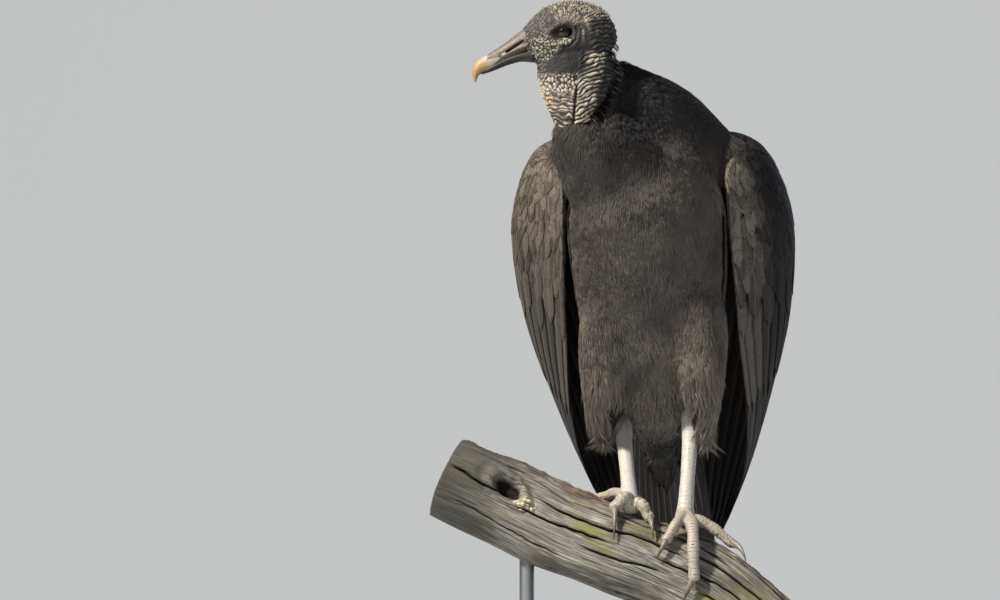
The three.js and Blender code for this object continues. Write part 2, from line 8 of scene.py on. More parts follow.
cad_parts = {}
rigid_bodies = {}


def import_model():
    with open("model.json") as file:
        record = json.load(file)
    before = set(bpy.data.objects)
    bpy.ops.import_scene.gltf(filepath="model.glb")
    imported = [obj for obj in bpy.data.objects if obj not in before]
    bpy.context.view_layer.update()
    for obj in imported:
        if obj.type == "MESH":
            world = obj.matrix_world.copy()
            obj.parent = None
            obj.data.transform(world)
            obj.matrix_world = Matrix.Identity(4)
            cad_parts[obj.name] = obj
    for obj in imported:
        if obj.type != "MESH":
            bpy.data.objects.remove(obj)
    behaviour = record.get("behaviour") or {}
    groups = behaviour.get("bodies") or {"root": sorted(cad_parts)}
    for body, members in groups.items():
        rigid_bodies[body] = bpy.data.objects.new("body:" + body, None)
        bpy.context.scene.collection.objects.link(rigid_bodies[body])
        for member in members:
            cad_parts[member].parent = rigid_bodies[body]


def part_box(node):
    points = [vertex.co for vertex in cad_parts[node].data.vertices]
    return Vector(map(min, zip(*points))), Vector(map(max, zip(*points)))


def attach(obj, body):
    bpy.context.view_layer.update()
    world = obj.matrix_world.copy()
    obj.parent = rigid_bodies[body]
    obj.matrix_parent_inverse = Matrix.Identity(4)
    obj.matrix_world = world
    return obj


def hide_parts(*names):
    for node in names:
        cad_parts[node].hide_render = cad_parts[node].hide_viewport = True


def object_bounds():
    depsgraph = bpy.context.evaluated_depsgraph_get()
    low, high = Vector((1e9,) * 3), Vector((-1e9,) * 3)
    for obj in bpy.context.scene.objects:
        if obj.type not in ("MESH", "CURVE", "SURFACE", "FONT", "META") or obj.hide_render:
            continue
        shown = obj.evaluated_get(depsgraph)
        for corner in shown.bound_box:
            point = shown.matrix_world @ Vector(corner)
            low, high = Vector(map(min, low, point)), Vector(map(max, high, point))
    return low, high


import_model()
CAD_BOX = [list(corner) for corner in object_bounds()]

# Every shape is worked out in millimetres from the point between the bird's feet, on top of the branch.
FEET = np.array([28.0, -30.0, 180.0])
MM = 0.001
BODY_MIDDLE = np.array([-5.0, 0.0, 0.0])
TAU = 2 * math.pi


# ---------------------------------------------------------------- numbers

def unit(v):
    return v / np.maximum(np.linalg.norm(v, axis=-1, keepdims=True), 1e-9)


def ramp(x, low, high):
    """0 below low and 1 above high, with a smooth step between; low may be the larger."""
    t = np.clip((x - low) / (high - low), 0, 1)
    return t * t * (3 - 2 * t)


def hill(x, middle, half):
    """1 at the middle, falling smoothly to 0 half away from it."""
    return 1 - ramp(np.abs(x - middle), 0, half)


def through(values, s):
    """Smooth values through equally spaced stations, for s from 0 to 1."""
    v = np.asarray(values, float)
    padded = np.concatenate([[2 * v[0] - v[1]], v, [2 * v[-1] - v[-2]]])
    place = np.clip(s, 0, 1) * (len(v) - 1)
    i = np.minimum(place.astype(int), len(v) - 2)
    w = place - i
    if v.ndim > 1:
        w = w[..., None]
    a, b, c, d = (padded[i + k] for k in range(4))
    return b + 0.5 * w * (c - a + w * (2 * a - 5 * b + 4 * c - d + w * (3 * (b - c) + d - a)))


def curve(points, t):
    """A smooth curve through points, or through one set of points for each t."""
    points = np.asarray(points, float)
    last = len(points) - 1
    padded = np.concatenate([[2 * points[0] - points[1]], points, [2 * points[-1] - points[-2]]])
    place = np.clip(t, 0, 1) * last
    i = np.minimum(place.astype(int), last - 1)
    w = (place - i)[:, None]
    if points.ndim == 2:
        a, b, c, d = (padded[i + k] for k in range(4))
    else:
        a, b, c, d = (padded[i + k, np.arange(len(i))] for k in range(4))
    ab, bc, cd = (
        np.sqrt(np.linalg.norm(q - p, axis=1, keepdims=True)) + 1e-6 for p, q in ((a, b), (b, c), (c, d))
    )
    leave = ((b - a) / ab - (c - a) / (ab + bc) + (c - b) / bc) * bc
    arrive = ((c - b) / bc - (d - b) / (bc + cd) + (d - c) / cd) * bc
    return b + w * (leave + w * (3 * (c - b) - 2 * leave - arrive + w * (2 * (b - c) + leave + arrive)))


def mottle(points, size, seed=0.0):
    """Soft random values about 0 over points, with features about size across."""
    offset = Vector((seed * 17.3, seed * -9.1, seed * 5.7))
    return np.array([noise.noise(Vector(p) + offset) for p in points / size])


def cobbles(points, seed=0.0, crack=0.26):
    """Rounded cobbles about one unit across: 1 on top of each and 0 in the narrow cracks between them."""
    offset = Vector((seed * 7.7, seed * 3.1, seed * -5.3))
    found = np.array([noise.voronoi(Vector(p) + offset)[0][:2] for p in points])
    return ramp(found[:, 1] - found[:, 0], 0.02, crack) * (1 - 0.3 * ramp(found[:, 0], 0.0, 0.8))


# ---------------------------------------------------------------- meshes

def deselect():
    for other in bpy.context.view_layer.objects:
        other.select_set(False)


def piece(name, points, triangles, material, maps=None, marks=None, smooth=True):
    """A mesh object from points in the bird's millimetres. `maps` holds UV maps and `marks` colour
    attributes, both with one row for each point."""
    mesh = bpy.data.meshes.new(name)
    mesh.vertices.add(len(points))
    mesh.vertices.foreach_set("co", ((points + FEET) * MM).astype(np.float32).ravel())
    mesh.loops.add(triangles.size)
    mesh.loops.foreach_set("vertex_index", triangles.astype(np.int32).ravel())
    mesh.polygons.add(len(triangles))
    mesh.polygons.foreach_set("loop_start", np.arange(0, triangles.size, 3, dtype=np.int32))
    mesh.update(calc_edges=True)
    mesh.polygons.foreach_set("use_smooth", np.full(len(triangles), smooth))
    for map_name, places in (maps or {}).items():
        layer = mesh.uv_layers.new(name=map_name)
        layer.uv.foreach_set("vector", places[triangles.ravel()].astype(np.float32).ravel())
    mesh.materials.append(material)
    made = bpy.data.objects.new(name, mesh)
    bpy.context.scene.collection.objects.link(made)
    for mark_name, values in (marks or {}).items():
        mark(made, mark_name, values)
    return made


def mark(made, name, values):
    """A colour attribute on a mesh, with one row of values for each point."""
    colours = np.ones((len(values), 4), np.float32)
    colours[:, : values.shape[1]] = values
    made.data.attributes.new(name, "FLOAT_COLOR", "POINT").data.foreach_set("color", colours.ravel())


def points_of(made):
    found = np.empty(len(made.data.vertices) * 3, np.float32)
    made.data.vertices.foreach_get("co", found)
    return found.reshape(-1, 3).astype(float) / MM - FEET


def normals_of(made):
    found = np.empty(len(made.data.vertices) * 3, np.float32)
    made.data.vertex_normals.foreach_get("vector", found)
    return found.reshape(-1, 3).astype(float)


def triangles_of(made):
    made.data.calc_loop_triangles()
    found = np.empty(len(made.data.loop_triangles) * 3, np.int32)
    made.data.loop_triangles.foreach_get("vertices", found)
    return found.reshape(-1, 3)


def move_points(made, points):
    made.data.vertices.foreach_set("co", ((points + FEET) * MM).astype(np.float32).ravel())
    made.data.update()


def outward(points, triangles):
    """The same triangles, turned round if they face into their solid."""
    a, b, c = (points[triangles[:, k]] - points.mean(0) for k in range(3))
    volume = np.einsum("ij,ij->i", a, np.cross(b, c)).sum()
    return triangles if volume > 0 else triangles[:, ::-1]


def tube(rings):
    """A closed solid through rings of points."""
    stations, around, _ = rings.shape
    points = np.concatenate([rings.reshape(-1, 3), [rings[0].mean(0)], [rings[-1].mean(0)]])
    step = np.arange(around)
    here = np.arange(stations - 1)[:, None] * around
    a, b = here + step, here + (step + 1) % around
    walls = np.stack([a, b, a + around, b, b + around, a + around], -1).reshape(-1, 3)
    last = (stations - 1) * around
    first_cap = np.stack([np.full(around, len(points) - 2), (step + 1) % around, step], -1)
    last_cap = np.stack([np.full(around, len(points) - 1), last + step, last + (step + 1) % around], -1)
    triangles = np.concatenate([walls, first_cap, last_cap])
    return points, outward(points, triangles)


def joined(parts):
    start, points, triangles = 0, [], []
    for part_points, part_triangles in parts:
        points.append(part_points)
        triangles.append(part_triangles + start)
        start += len(part_points)
    return np.concatenate(points), np.concatenate(triangles)


def loft(stations, around=32, along=40, side=(1, 0, 0), level=False, grow=0.0):
    """A body through stations of x, y, z, half width, front reach and back reach."""
    rows = np.array([row if len(row) == 6 else (*row, row[-1]) for row in stations], float)
    s = np.linspace(0, 1, along + 1)
    centre = curve(rows[:, :3], s)
    wide, front, back = through(rows[:, 3:], s).T[:, :, None] + grow
    tangent = unit(curve(rows[:, :3], s + 0.004) - curve(rows[:, :3], s - 0.004))
    if level:
        tangent[:] = (0, 0, -1)
    side = np.array(side, float)
    across = unit(side - tangent * (tangent @ side)[:, None])
    forward = np.cross(tangent, across)
    turn = np.linspace(0, TAU, around, endpoint=False)
    reach = np.where(np.cos(turn) > 0, front, back) * np.cos(turn)
    rings = (
        centre[:, None]
        + across[:, None] * (wide * np.sin(turn))[..., None]
        + forward[:, None] * reach[..., None]
    )
    rings[0] -= tangent[0] * grow
    rings[-1] += tangent[-1] * grow
    return tube(rings)


def apply(made, kind, **settings):
    """Adds a modifier and applies it."""
    deselect()
    made.select_set(True)
    bpy.context.view_layer.objects.active = made
    modifier = made.modifiers.new(kind.title(), kind)
    for name, value in settings.items():
        setattr(modifier, name, value)
    bpy.ops.object.modifier_apply(modifier=modifier.name)


def fused(name, parts, voxel, smoothing, material):
    """One closed skin round all the parts, with its voxels that many millimetres across."""
    made = piece(name, *joined(parts), material)
    apply(made, "REMESH", mode="VOXEL", voxel_size=voxel * MM, use_smooth_shade=True)
    if smoothing:
        apply(made, "SMOOTH", factor=0.5, iterations=smoothing)
    return made


# ---------------------------------------------------------------- materials

def colour(code, alpha=True):
    """An sRGB hex colour as linear values."""
    parts = [int(code[i : i + 2], 16) / 255 for i in (1, 3, 5)]
    linear = [p / 12.92 if p <= 0.04045 else ((p + 0.055) / 1.055) ** 2.4 for p in parts]
    return (*linear, 1.0) if alpha else tuple(linear)


def set_inputs(material, node, inputs):
    """Sets a node's inputs to values or hex colours, or links them from other nodes' outputs."""
    for socket, value in inputs.items():
        if isinstance(value, bpy.types.NodeSocket):
            material.node_tree.links.new(value, node.inputs[socket])
        else:
            node.inputs[socket].default_value = colour(value) if isinstance(value, str) else value


def add_node(material, kind, inputs=None, **settings):
    """Adds a shader node with its settings and links, and gives its outputs."""
    node = material.node_tree.nodes.new("ShaderNode" + kind)
    for name, value in settings.items():
        setattr(node, name, value)
    set_inputs(material, node, inputs or {})
    return node.outputs


def new_material(name, **principled):
    material = bpy.data.materials.new(name)
    material.use_nodes = True
    shader = material.node_tree.nodes["Principled BSDF"]
    set_inputs(material, shader, {socket.replace("_", " "): value for socket, value in principled.items()})
    return material, shader


# ---------------------------------------------------------------- finishes

# Settings that most nodes of a kind share.
RGBA, SMOOTH = {"data_type": "RGBA"}, {"interpolation_type": "SMOOTHSTEP"}
TIMES, TIMES_PLUS = {"operation": "MULTIPLY"}, {"operation": "MULTIPLY_ADD"}


def numbered(*numbers):
    """A node's first inputs, in order."""
    return dict(enumerate(numbers))


# Each material's shader and first colour, and the layers over that colour. A layer is a factor and a colour,
# or a value, the two levels to read it between, what they give, and a colour.
coloured = []

# Bare vulture skin: dry, matt and warty. Its raised folds, beads and brow are pale, partly in their own
# colour and partly as painted highlight, and it is painted nearly black down between them as shade.
head_skin_mat, head_shader = new_material("bald_warty_head_skin", Roughness=0.65, Specular_IOR_Level=0.35)
marks = add_node(head_skin_mat, "Attribute", attribute_name="marks")["Color"]
pale, warm, deep = add_node(head_skin_mat, "SeparateColor", {0: marks})
on_object = {"Vector": add_node(head_skin_mat, "TexCoord")["Object"], "Detail": 3.0}
patchy = add_node(head_skin_mat, "TexNoise", on_object | {"Scale": 1 / (5.0 * MM)})[0]
grit = add_node(head_skin_mat, "TexNoise", on_object | {"Scale": 1 / (0.7 * MM)})[0]
fold = add_node(head_skin_mat, "Math", numbered(pale, 0.25), operation="SUBTRACT")[0]
pale_skin_and_highlights = add_node(head_skin_mat, "Math", numbered(grit, 0.5, fold), **TIMES_PLUS)[0]
warmth = add_node(head_skin_mat, "Math", numbered(warm, 0.7), **TIMES)[0]
# The pale layer is partly painted highlight on raised skin; the last layer is painted shade in hollows and
# creases.
coloured.append((head_skin_mat, head_shader, "#1d1c1f", [
    (pale_skin_and_highlights, 0.02, 0.98, "#b5ad9e"), (warmth, "#b08458"), (patchy, 0.45, 0.75, 0.0, 0.3, "#4a4744"),
    # Painted shade: nearly black in the eye's socket and opening, in the creases and over the cheek.
    (deep, 0.02, 0.9, "#100f13"),
]))
grain = add_node(head_skin_mat, "TexVoronoi", {"Vector": on_object["Vector"], "Scale": 1 / (0.9 * MM)})[0]
first = add_node(head_skin_mat, "Bump", {"Height": grain, "Distance": 0.16 * MM})[0]
normal = add_node(head_skin_mat, "Bump", {"Height": grit, "Distance": 0.12 * MM, "Normal": first})[0]
set_inputs(head_skin_mat, head_shader, {"Normal": normal})

# The skin under the feathers is dark and hardly seen.
body_skin_mat, body_shader = new_material("dark_feathered_skin", Roughness=0.8, Specular_IOR_Level=0.2)
places = add_node(body_skin_mat, "TexCoord")["Object"]
cloudy = add_node(body_skin_mat, "TexNoise", {"Vector": places, "Scale": 1 / (4.0 * MM), "Detail": 2.0})[0]
coloured.append((body_skin_mat, body_shader, "#141213", [(cloudy, "#221e1d")]))

# Horny scales: chalky white down the shanks and dusty tan on the toes, painted paler on the scales' raised
# tops and darker in the creases between them as light and shade.
leg_mat, leg_shader = new_material("horny_leg_scales", Roughness=0.5, Specular_IOR_Level=0.4)
marks = add_node(leg_mat, "Attribute", attribute_name="marks")["Color"]
high, shank, _ = add_node(leg_mat, "SeparateColor", {0: marks})
places = add_node(leg_mat, "TexCoord")["Object"]
soil, stains, pits = (
    add_node(leg_mat, "TexNoise", {"Vector": places, "Scale": 1 / (size * MM), "Detail": detail})[0]
    for size, detail in ((2.2, 4.0), (7.0, 3.0), (0.6, 3.0))
)
# The scales' height paints light on their tops and shade in their creases, under random soil.
soil_and_lit_scale_tops = add_node(leg_mat, "Math", numbered(soil, 0.5, high), **TIMES_PLUS)[0]
raised = add_node(leg_mat, "MapRange", numbered(soil_and_lit_scale_tops, 0.35, 1.1), **SMOOTH)[0]
toe_tone, shank_tone = (
    add_node(leg_mat, "Mix", {0: raised, 6: low, 7: pale}, **RGBA)[2]
    for low, pale in (("#2f2a26", "#a39c90"), ("#7d7971", "#b4b2ad"))
)
coloured.append((leg_mat, leg_shader, toe_tone, [
    (shank, shank_tone), (stains, 0.55, 0.8, 0.0, 0.35, "#6f665b"),
]))
normal = add_node(leg_mat, "Bump", {"Height": pits, "Distance": 0.07 * MM})[0]
set_inputs(leg_mat, leg_shader, {"Normal": normal})

# Bill horn: waxy ivory at the tip, tan where it is thick, grey-brown skin-like horn behind, with a painted
# highlight along its side ridge and painted shade on its underside.
bill_mat, bill_shader = new_material("waxy_bill_horn", Roughness=0.5, Specular_IOR_Level=0.4)
marks, shade = (add_node(bill_mat, "Attribute", attribute_name=name)["Color"] for name in ("marks", "shade"))
cap, _, crest = add_node(bill_mat, "SeparateColor", {0: marks})
tan, belly, _ = add_node(bill_mat, "SeparateColor", {0: shade})
places = add_node(bill_mat, "TexCoord")["Object"]
streaks, pits = (
    add_node(bill_mat, "TexNoise", {"Vector": places, "Scale": 1 / (size * MM), "Detail": detail})[0]
    for size, detail in ((1.6, 4.0), (0.8, 3.0))
)
painted_ridge_highlight, shadowed = (
    add_node(bill_mat, "Math", numbered(*pair), **TIMES)[0] for pair in ((crest, 0.7), (belly, 0.9))
)
tanned = add_node(bill_mat, "Math", numbered(streaks, 0.3, tan), **TIMES_PLUS)[0]
streaked, tanned = (
    add_node(bill_mat, "MapRange", numbered(*levels), **SMOOTH)[0]
    for levels in ((streaks, 0.3, 0.7), (tanned, 0.1, 1.2))
)
tip_horn = add_node(bill_mat, "Mix", {0: tanned, 6: "#9c9689", 7: "#94764f"}, **RGBA)[2]
# The crest layer is a painted highlight; the shadowed layer is painted shade on the underside, in the
# nostrils and over the lower bill.
coloured.append((bill_mat, bill_shader, "#4b443f", [
    (streaked, "#6f675f"), (painted_ridge_highlight, "#a69c8e"), (cap, tip_horn), (shadowed, "#1a1614"),
]))
normal = add_node(bill_mat, "Bump", {"Height": pits, "Distance": 0.07 * MM})[0]
set_inputs(bill_mat, bill_shader, {"Normal": normal})

# A wet, dark brown eye: near-black pupil, brown iris and a dark rim, under a clear dome.
eye_mat, eye_shader = new_material(
    "wet_brown_eye", Roughness=0.08, Specular_IOR_Level=0.4, Coat_Weight=0.2, Coat_Roughness=0.03
)
marks = add_node(eye_mat, "Attribute", attribute_name="marks")["Color"]
reach = add_node(eye_mat, "SeparateColor", {0: marks})[0]
places = add_node(eye_mat, "TexCoord")["Object"]
flecks = add_node(eye_mat, "TexNoise", {"Vector": places, "Scale": 1 / (0.6 * MM), "Detail": 3.0})[0]
flecked = add_node(eye_mat, "MapRange", numbered(flecks, 0.3, 0.7), **SMOOTH)[0]
iris = add_node(eye_mat, "Mix", {0: flecked, 6: "#120b08", 7: "#2a1a0e"}, **RGBA)[2]
coloured.append((eye_mat, eye_shader, "#050404", [(reach, 0.36, 0.41, iris), (reach, 0.56, 0.66, "#0e0a0a")]))

# Claw horn: scuffed grey-brown, darker and smoother toward the point.
claw_mat, claw_shader = new_material("scuffed_claw_horn", Roughness=0.4, Specular_IOR_Level=0.5)
marks = add_node(claw_mat, "Attribute", attribute_name="marks")["Color"]
point = add_node(claw_mat, "SeparateColor", {0: marks})[0]
places = add_node(claw_mat, "TexCoord")["Object"]
scuffs = add_node(claw_mat, "TexNoise", {"Vector": places, "Scale": 1 / (1.2 * MM), "Detail": 4.0})[0]
coloured.append((claw_mat, claw_shader, "#5d5751", [
    (scuffs, 0.35, 0.7, "#96918a"), (point, 0.35, 1.0, "#3b3430"),
]))
normal = add_node(claw_mat, "Bump", {"Height": scuffs, "Distance": 0.12 * MM})[0]
set_inputs(claw_mat, claw_shader, {"Normal": normal})

# Small body feathers: soft and matt, sooty at the root and faded brown toward their hair-like tips, kept dark
# by painted shade on the hump and under the tail's root.
plumage_mat, plumage_shader = new_material(
    "sooty_contour_feathers", Roughness=0.6, Specular_IOR_Level=0.3, Sheen_Weight=0.08, Sheen_Roughness=0.5
)
marks = add_node(plumage_mat, "Attribute", attribute_name="feather")["Color"]
chance, run, faded_less_painted_shade = add_node(plumage_mat, "SeparateColor", {0: marks})
toward_tip = add_node(plumage_mat, "MapRange", numbered(run, 0.1, 1.0, 0.45, 1.0), **SMOOTH)[0]
tip = add_node(plumage_mat, "Math", numbered(faded_less_painted_shade, toward_tip), **TIMES)[0]
variety = add_node(plumage_mat, "MapRange", numbered(chance, 0.0, 1.0, 0.0, 0.28), **SMOOTH)[0]
tips = add_node(plumage_mat, "Mix", {0: tip, 6: "#19181b", 7: "#a1958a"}, **RGBA)[2]
varied = add_node(plumage_mat, "Mix", {0: variety, 6: tips, 7: "#141314"}, **RGBA)[2]
coloured.append((plumage_mat, plumage_shader, "#1a1716", [(run, 0.0, 0.7, varied)]))

# The bald head's sparse bristles: wiry, dull and grey.
bristle_mat, bristle_shader = new_material("grey_wiry_bristles", Roughness=0.6, Specular_IOR_Level=0.3)
marks = add_node(bristle_mat, "Attribute", attribute_name="feather")["Color"]
chance, _, shaded = add_node(bristle_mat, "SeparateColor", {0: marks})
coloured.append((bristle_mat, bristle_shader, "#5f5a54", [(chance, "#b3aa9a"), (shaded, "#3a3531")]))

# Wing and tail feathers: firm vanes with a silky gloss along the barbs, a worn paler rim and a horny shaft,
# with painted light and shade across the left wing.
flight_mat, flight_shader = new_material("silky_feather_vanes", Roughness=0.52, Specular_IOR_Level=0.2)
feather, vane = (
    add_node(flight_mat, "Attribute", attribute_name=name)["Color"] for name in ("feather", "vane")
)
chance, worn_tone_and_painted_light, fresh_and_painted_shade = add_node(flight_mat, "SeparateColor", {0: feather})
edge, run, _ = add_node(flight_mat, "SeparateColor", {0: vane})
lie = add_node(flight_mat, "UVMap", uv_map="Vane")[0]
across, along, _ = add_node(flight_mat, "SeparateXYZ", {0: lie})
# Barbs run out from the shaft toward the tip. They are drawn coarser than real ones, to show.
BARB_GAP, BARB_SLANT = 1.1, -0.75
from_shaft = add_node(flight_mat, "Math", {0: across}, operation="ABSOLUTE")[0]
barb = add_node(flight_mat, "Math", numbered(from_shaft, BARB_SLANT, along), **TIMES_PLUS)[0]
turns = add_node(flight_mat, "Math", numbered(barb, TAU * 100 / BARB_GAP), **TIMES)[0]
barb_wave = add_node(flight_mat, "Math", {0: turns}, operation="SINE")[0]
barb_place = add_node(flight_mat, "CombineXYZ", numbered(barb, chance))[0]
split = add_node(flight_mat, "TexNoise", {"Vector": barb_place, "Scale": 70.0, "Detail": 3.0})[0]
fade = worn_tone_and_painted_light
for value, *levels in ((split, 0.3, 0.7, 0.35, 1.0), (chance, 0.0, 1.0, 0.35, 1.0)):
    share = add_node(flight_mat, "MapRange", numbered(value, *levels), **SMOOTH)[0]
    fade = add_node(flight_mat, "Math", numbered(fade, share), **TIMES)[0]
tip = add_node(flight_mat, "MapRange", numbered(run, 0.86, 1.0), **SMOOTH)[0]
outline = add_node(flight_mat, "Math", numbered(edge, tip), operation="MAXIMUM")[0]
rim = add_node(flight_mat, "MapRange", numbered(outline, 0.72, 0.96), **SMOOTH)[0]
shaft = add_node(flight_mat, "MapRange", numbered(edge, 0.11, 0.03), **SMOOTH)[0]
worn_rim, shaft_line = (
    add_node(flight_mat, "Math", numbered(*pair), **TIMES)[0] for pair in ((rim, 0.36), (shaft, 0.45))
)
# The tone carries painted light on the left wing's inner edge, and the last layer painted shade on its
# outside as well as the darker ends of the flight feathers.
coloured.append((flight_mat, flight_shader, "#141317", [
    (chance, "#262322"), (fade, "#7b736a"), (split, 0.5, 0.75, 0.0, 0.35, "#1b191a"), (worn_rim, "#655c52"),
    (shaft_line, "#77695b"), (fresh_and_painted_shade, "#0d0c0f"),
]))
first = add_node(flight_mat, "Bump", {"Height": barb_wave, "Distance": 0.05 * MM})[0]
normal = add_node(flight_mat, "Bump", {"Height": split, "Distance": 0.25 * MM, "Normal": first})[0]
set_inputs(flight_mat, flight_shader, {"Normal": normal})

# Dead wood: silver-grey and checked by weather, with algae, rusty crumbling sapwood on top and pale crust,
# painted darker as shade down its cracks, furrows and knot hole and at its left end.
wood_mat, wood_shader = new_material("weathered_dead_wood", Roughness=0.85, Specular_IOR_Level=0.25)
marks, kinds = (add_node(wood_mat, "Attribute", attribute_name=name)["Color"] for name in ("marks", "kinds"))
crack, green, crust = add_node(wood_mat, "SeparateColor", {0: marks})
top, rust, shaded_left_end = add_node(wood_mat, "SeparateColor", {0: kinds})
along_grain = add_node(wood_mat, "Attribute", attribute_name="lie")["Color"]
# The marks are in decimetres. Grain lines are about 1 mm apart, and bands of weathering about 8 mm.
grains = []
for scale, stretch, detail in (
    (110.0, 0.04, 6.0), (16.0, 0.12, 4.0), (7.0, 0.7, 3.0), (75.0, 0.022, 5.0), (260.0, 0.12, 4.0),
):
    placed = add_node(wood_mat, "Mapping", {0: along_grain, "Scale": (stretch, 1.0, 1.0)})[0]
    grains.append(add_node(wood_mat, "TexNoise", {
        "Vector": placed, "Scale": scale, "Detail": detail, "Roughness": 0.6,
    })[0])
lines, bands, blotches, fibres, fine = grains
spread = []
for covering, grain, *levels in (
    (green, bands, 0.3, 0.6, 0.2, 0.75), (top, lines, 0.6, 0.4, 0.0, 0.7), (rust, bands, 0.45, 0.6, 0.0, 0.6),
):
    share = add_node(wood_mat, "MapRange", numbered(grain, *levels), **SMOOTH)[0]
    spread.append(add_node(wood_mat, "Math", numbered(covering, share), **TIMES)[0])
places = add_node(wood_mat, "TexCoord")["Object"]
weather = add_node(wood_mat, "TexNoise", {"Vector": places, "Scale": 1 / (38.0 * MM), "Detail": 3.0})[0]
coloured.append((wood_mat, wood_shader, "#423d37", [
    (lines, 0.34, 0.66, "#a8a49b"), (bands, 0.35, 0.7, 0.0, 0.6, "#77787a"),
    (fibres, 0.44, 0.37, 0.0, 0.75, "#2b2622"), (blotches, 0.5, 0.72, 0.0, 0.5, "#58524a"),
    # Painted shade darkens the left end here, and the cracks, furrows and knot hole below.
    (spread[0], "#74733a"), (spread[1], "#3a3129"), (spread[2], "#6d4229"), (shaded_left_end, "#444341"),
    (weather, 0.46, 0.66, 0.0, 0.55, "#3d352c"), (crust, "#cbc59d"), (crack, 0.2, 0.8, "#171310"),
]))
first = add_node(wood_mat, "Bump", {"Height": lines, "Distance": 0.5 * MM})[0]
normal = add_node(wood_mat, "Bump", {"Height": fine, "Distance": 0.16 * MM, "Normal": first})[0]
set_inputs(wood_mat, wood_shader, {"Normal": normal})

# The studio floor: pale matt card.
floor_mat, _ = new_material("pale_matt_floor", Roughness=0.9, Specular_IOR_Level=0.2, Base_Color="#d2d7dc")

# The studio's backdrop: pale grey paper, evenly lit.
backdrop_mat, _ = new_material(
    "lit_grey_backdrop_paper", Roughness=1.0, Base_Color="#8a8c8d", Emission_Color="#f2f4f5",
    Emission_Strength=0.5,
)

# The display stand: satin black paint on the base, brushed steel rods.
stand_paint, stand_shader = new_material("satin_black_paint", Roughness=0.42, Specular_IOR_Level=0.5)
places = add_node(stand_paint, "TexCoord")["Object"]
orange_peel, cloudy = (
    add_node(stand_paint, "TexNoise", {"Vector": places, "Scale": 1 / (size * MM), "Detail": detail})[0]
    for size, detail in ((1.5, 1.0), (30.0, 2.0))
)
coloured.append((stand_paint, stand_shader, "#242426", [(cloudy, "#2b2b2e")]))
normal = add_node(stand_paint, "Bump", {"Height": orange_peel, "Distance": 0.02 * MM})[0]
set_inputs(stand_paint, stand_shader, {"Normal": normal})
steel, steel_shader = new_material("brushed_steel_rod", Roughness=0.32, Metallic=1.0)
places = add_node(steel, "TexCoord")["Object"]
placed = add_node(steel, "Mapping", {0: places, "Scale": (1.0, 1.0, 12.0)})[0]
brushed = add_node(steel, "TexNoise", {"Vector": placed, "Scale": 1 / (1.0 * MM), "Detail": 2.0})[0]
coloured.append((steel, steel_shader, "#a9adb2", [(brushed, "#c9ccd0")]))
normal = add_node(steel, "Bump", {"Height": brushed, "Distance": 0.015 * MM})[0]
set_inputs(steel, steel_shader, {"Normal": normal})

for material, shader, tone, layers in coloured:
    for factor, *levels, over in layers:
        if levels:
            factor = add_node(material, "MapRange", numbered(factor, *levels), **SMOOTH)[0]
        tone = add_node(material, "Mix", {0: factor, 6: tone, 7: over}, **RGBA)[2]
    set_inputs(material, shader, {"Base Color": tone})


# ---------------------------------------------------------------- the bird's frames

HEAD_AT = np.array([-64.6, -88.0, 371.4])
HEAD_TURN = math.radians(188)


def from_head(points):
    """From the head's own frame, with x forward along the bill, y to its left and z up."""
    c, s = math.cos(HEAD_TURN), math.sin(HEAD_TURN)
    return points @ np.array([[c, s, 0], [-s, c, 0], [0, 0, 1]]) + HEAD_AT


def to_head(points):
    c, s = math.cos(HEAD_TURN), math.sin(HEAD_TURN)
    return (points - HEAD_AT) @ np.array([[c, -s, 0], [s, c, 0], [0, 0, 1]])


# x, y, z, half width, front reach, back reach
TRUNK = [
    (-6, -44, 300, 28, 20, 24), (-4, -40, 282, 50, 38, 46), (-1, -28, 250, 64, 58, 60),
    (0, -8, 214, 66, 66, 66), (0, 14, 178, 63, 67, 62), (0, 36, 143, 57, 69, 54),
    (0, 58, 108, 44, 58, 44), (0, 72, 78, 29, 32, 30), (1, 78, 57, 16, 13, 24), (1, 79, 48, 7, 6, 11),
]
NECK_FRONT = [
    (-56.5, -87, 327, 17, 14.5), (-56.5, -86, 311, 18.5, 16.5), (-54, -80, 297, 24, 22),
    (-46, -68, 280, 31, 30), (-33, -49, 257, 38, 34), (-22, -32, 232, 40, 34), (-14, -20, 205, 42, 34),
]
NECK_HUMP = [
    (-31, -56, 358, 7, 10, 10), (-20, -42, 350, 20, 26, 24), (-9, -27, 338, 37, 48, 40),
    (-3, -13, 320, 53, 62, 50), (1, -1, 299, 66, 66, 54), (1, 4, 276, 64, 66, 54), (0, 4, 252, 58, 52, 50),
]
THIGHS = {
    "right": [
        (-34, -10, 172, 30, 36), (-38, -10, 138, 28, 38), (-41, -1, 107, 23, 32),
        (-43, 13, 80, 19, 24), (-44, 24, 60, 15, 14), (-44, 27, 51, 8, 6),
    ],
    "left": [
        (30, -10, 172, 30, 36), (34, -12, 138, 28, 38), (36, -7, 107, 22, 31),
        (37, 2, 80, 17, 22), (38, 9, 57, 11, 12), (38, 11, 46, 6, 5),
    ],
}
# Upright sections through the skull: x, top, bottom, half width.
SKULL = [
    (30, 5.5, -20, 8.5), (22, 13.5, -24.5, 12.5), (12, 21.5, -28, 15.5), (0, 27.2, -29, 17.5),
    (-12, 28, -28, 18), (-24, 22.5, -26, 17), (-34, 10, -21, 13), (-40, -3, -14, 6.5),
]
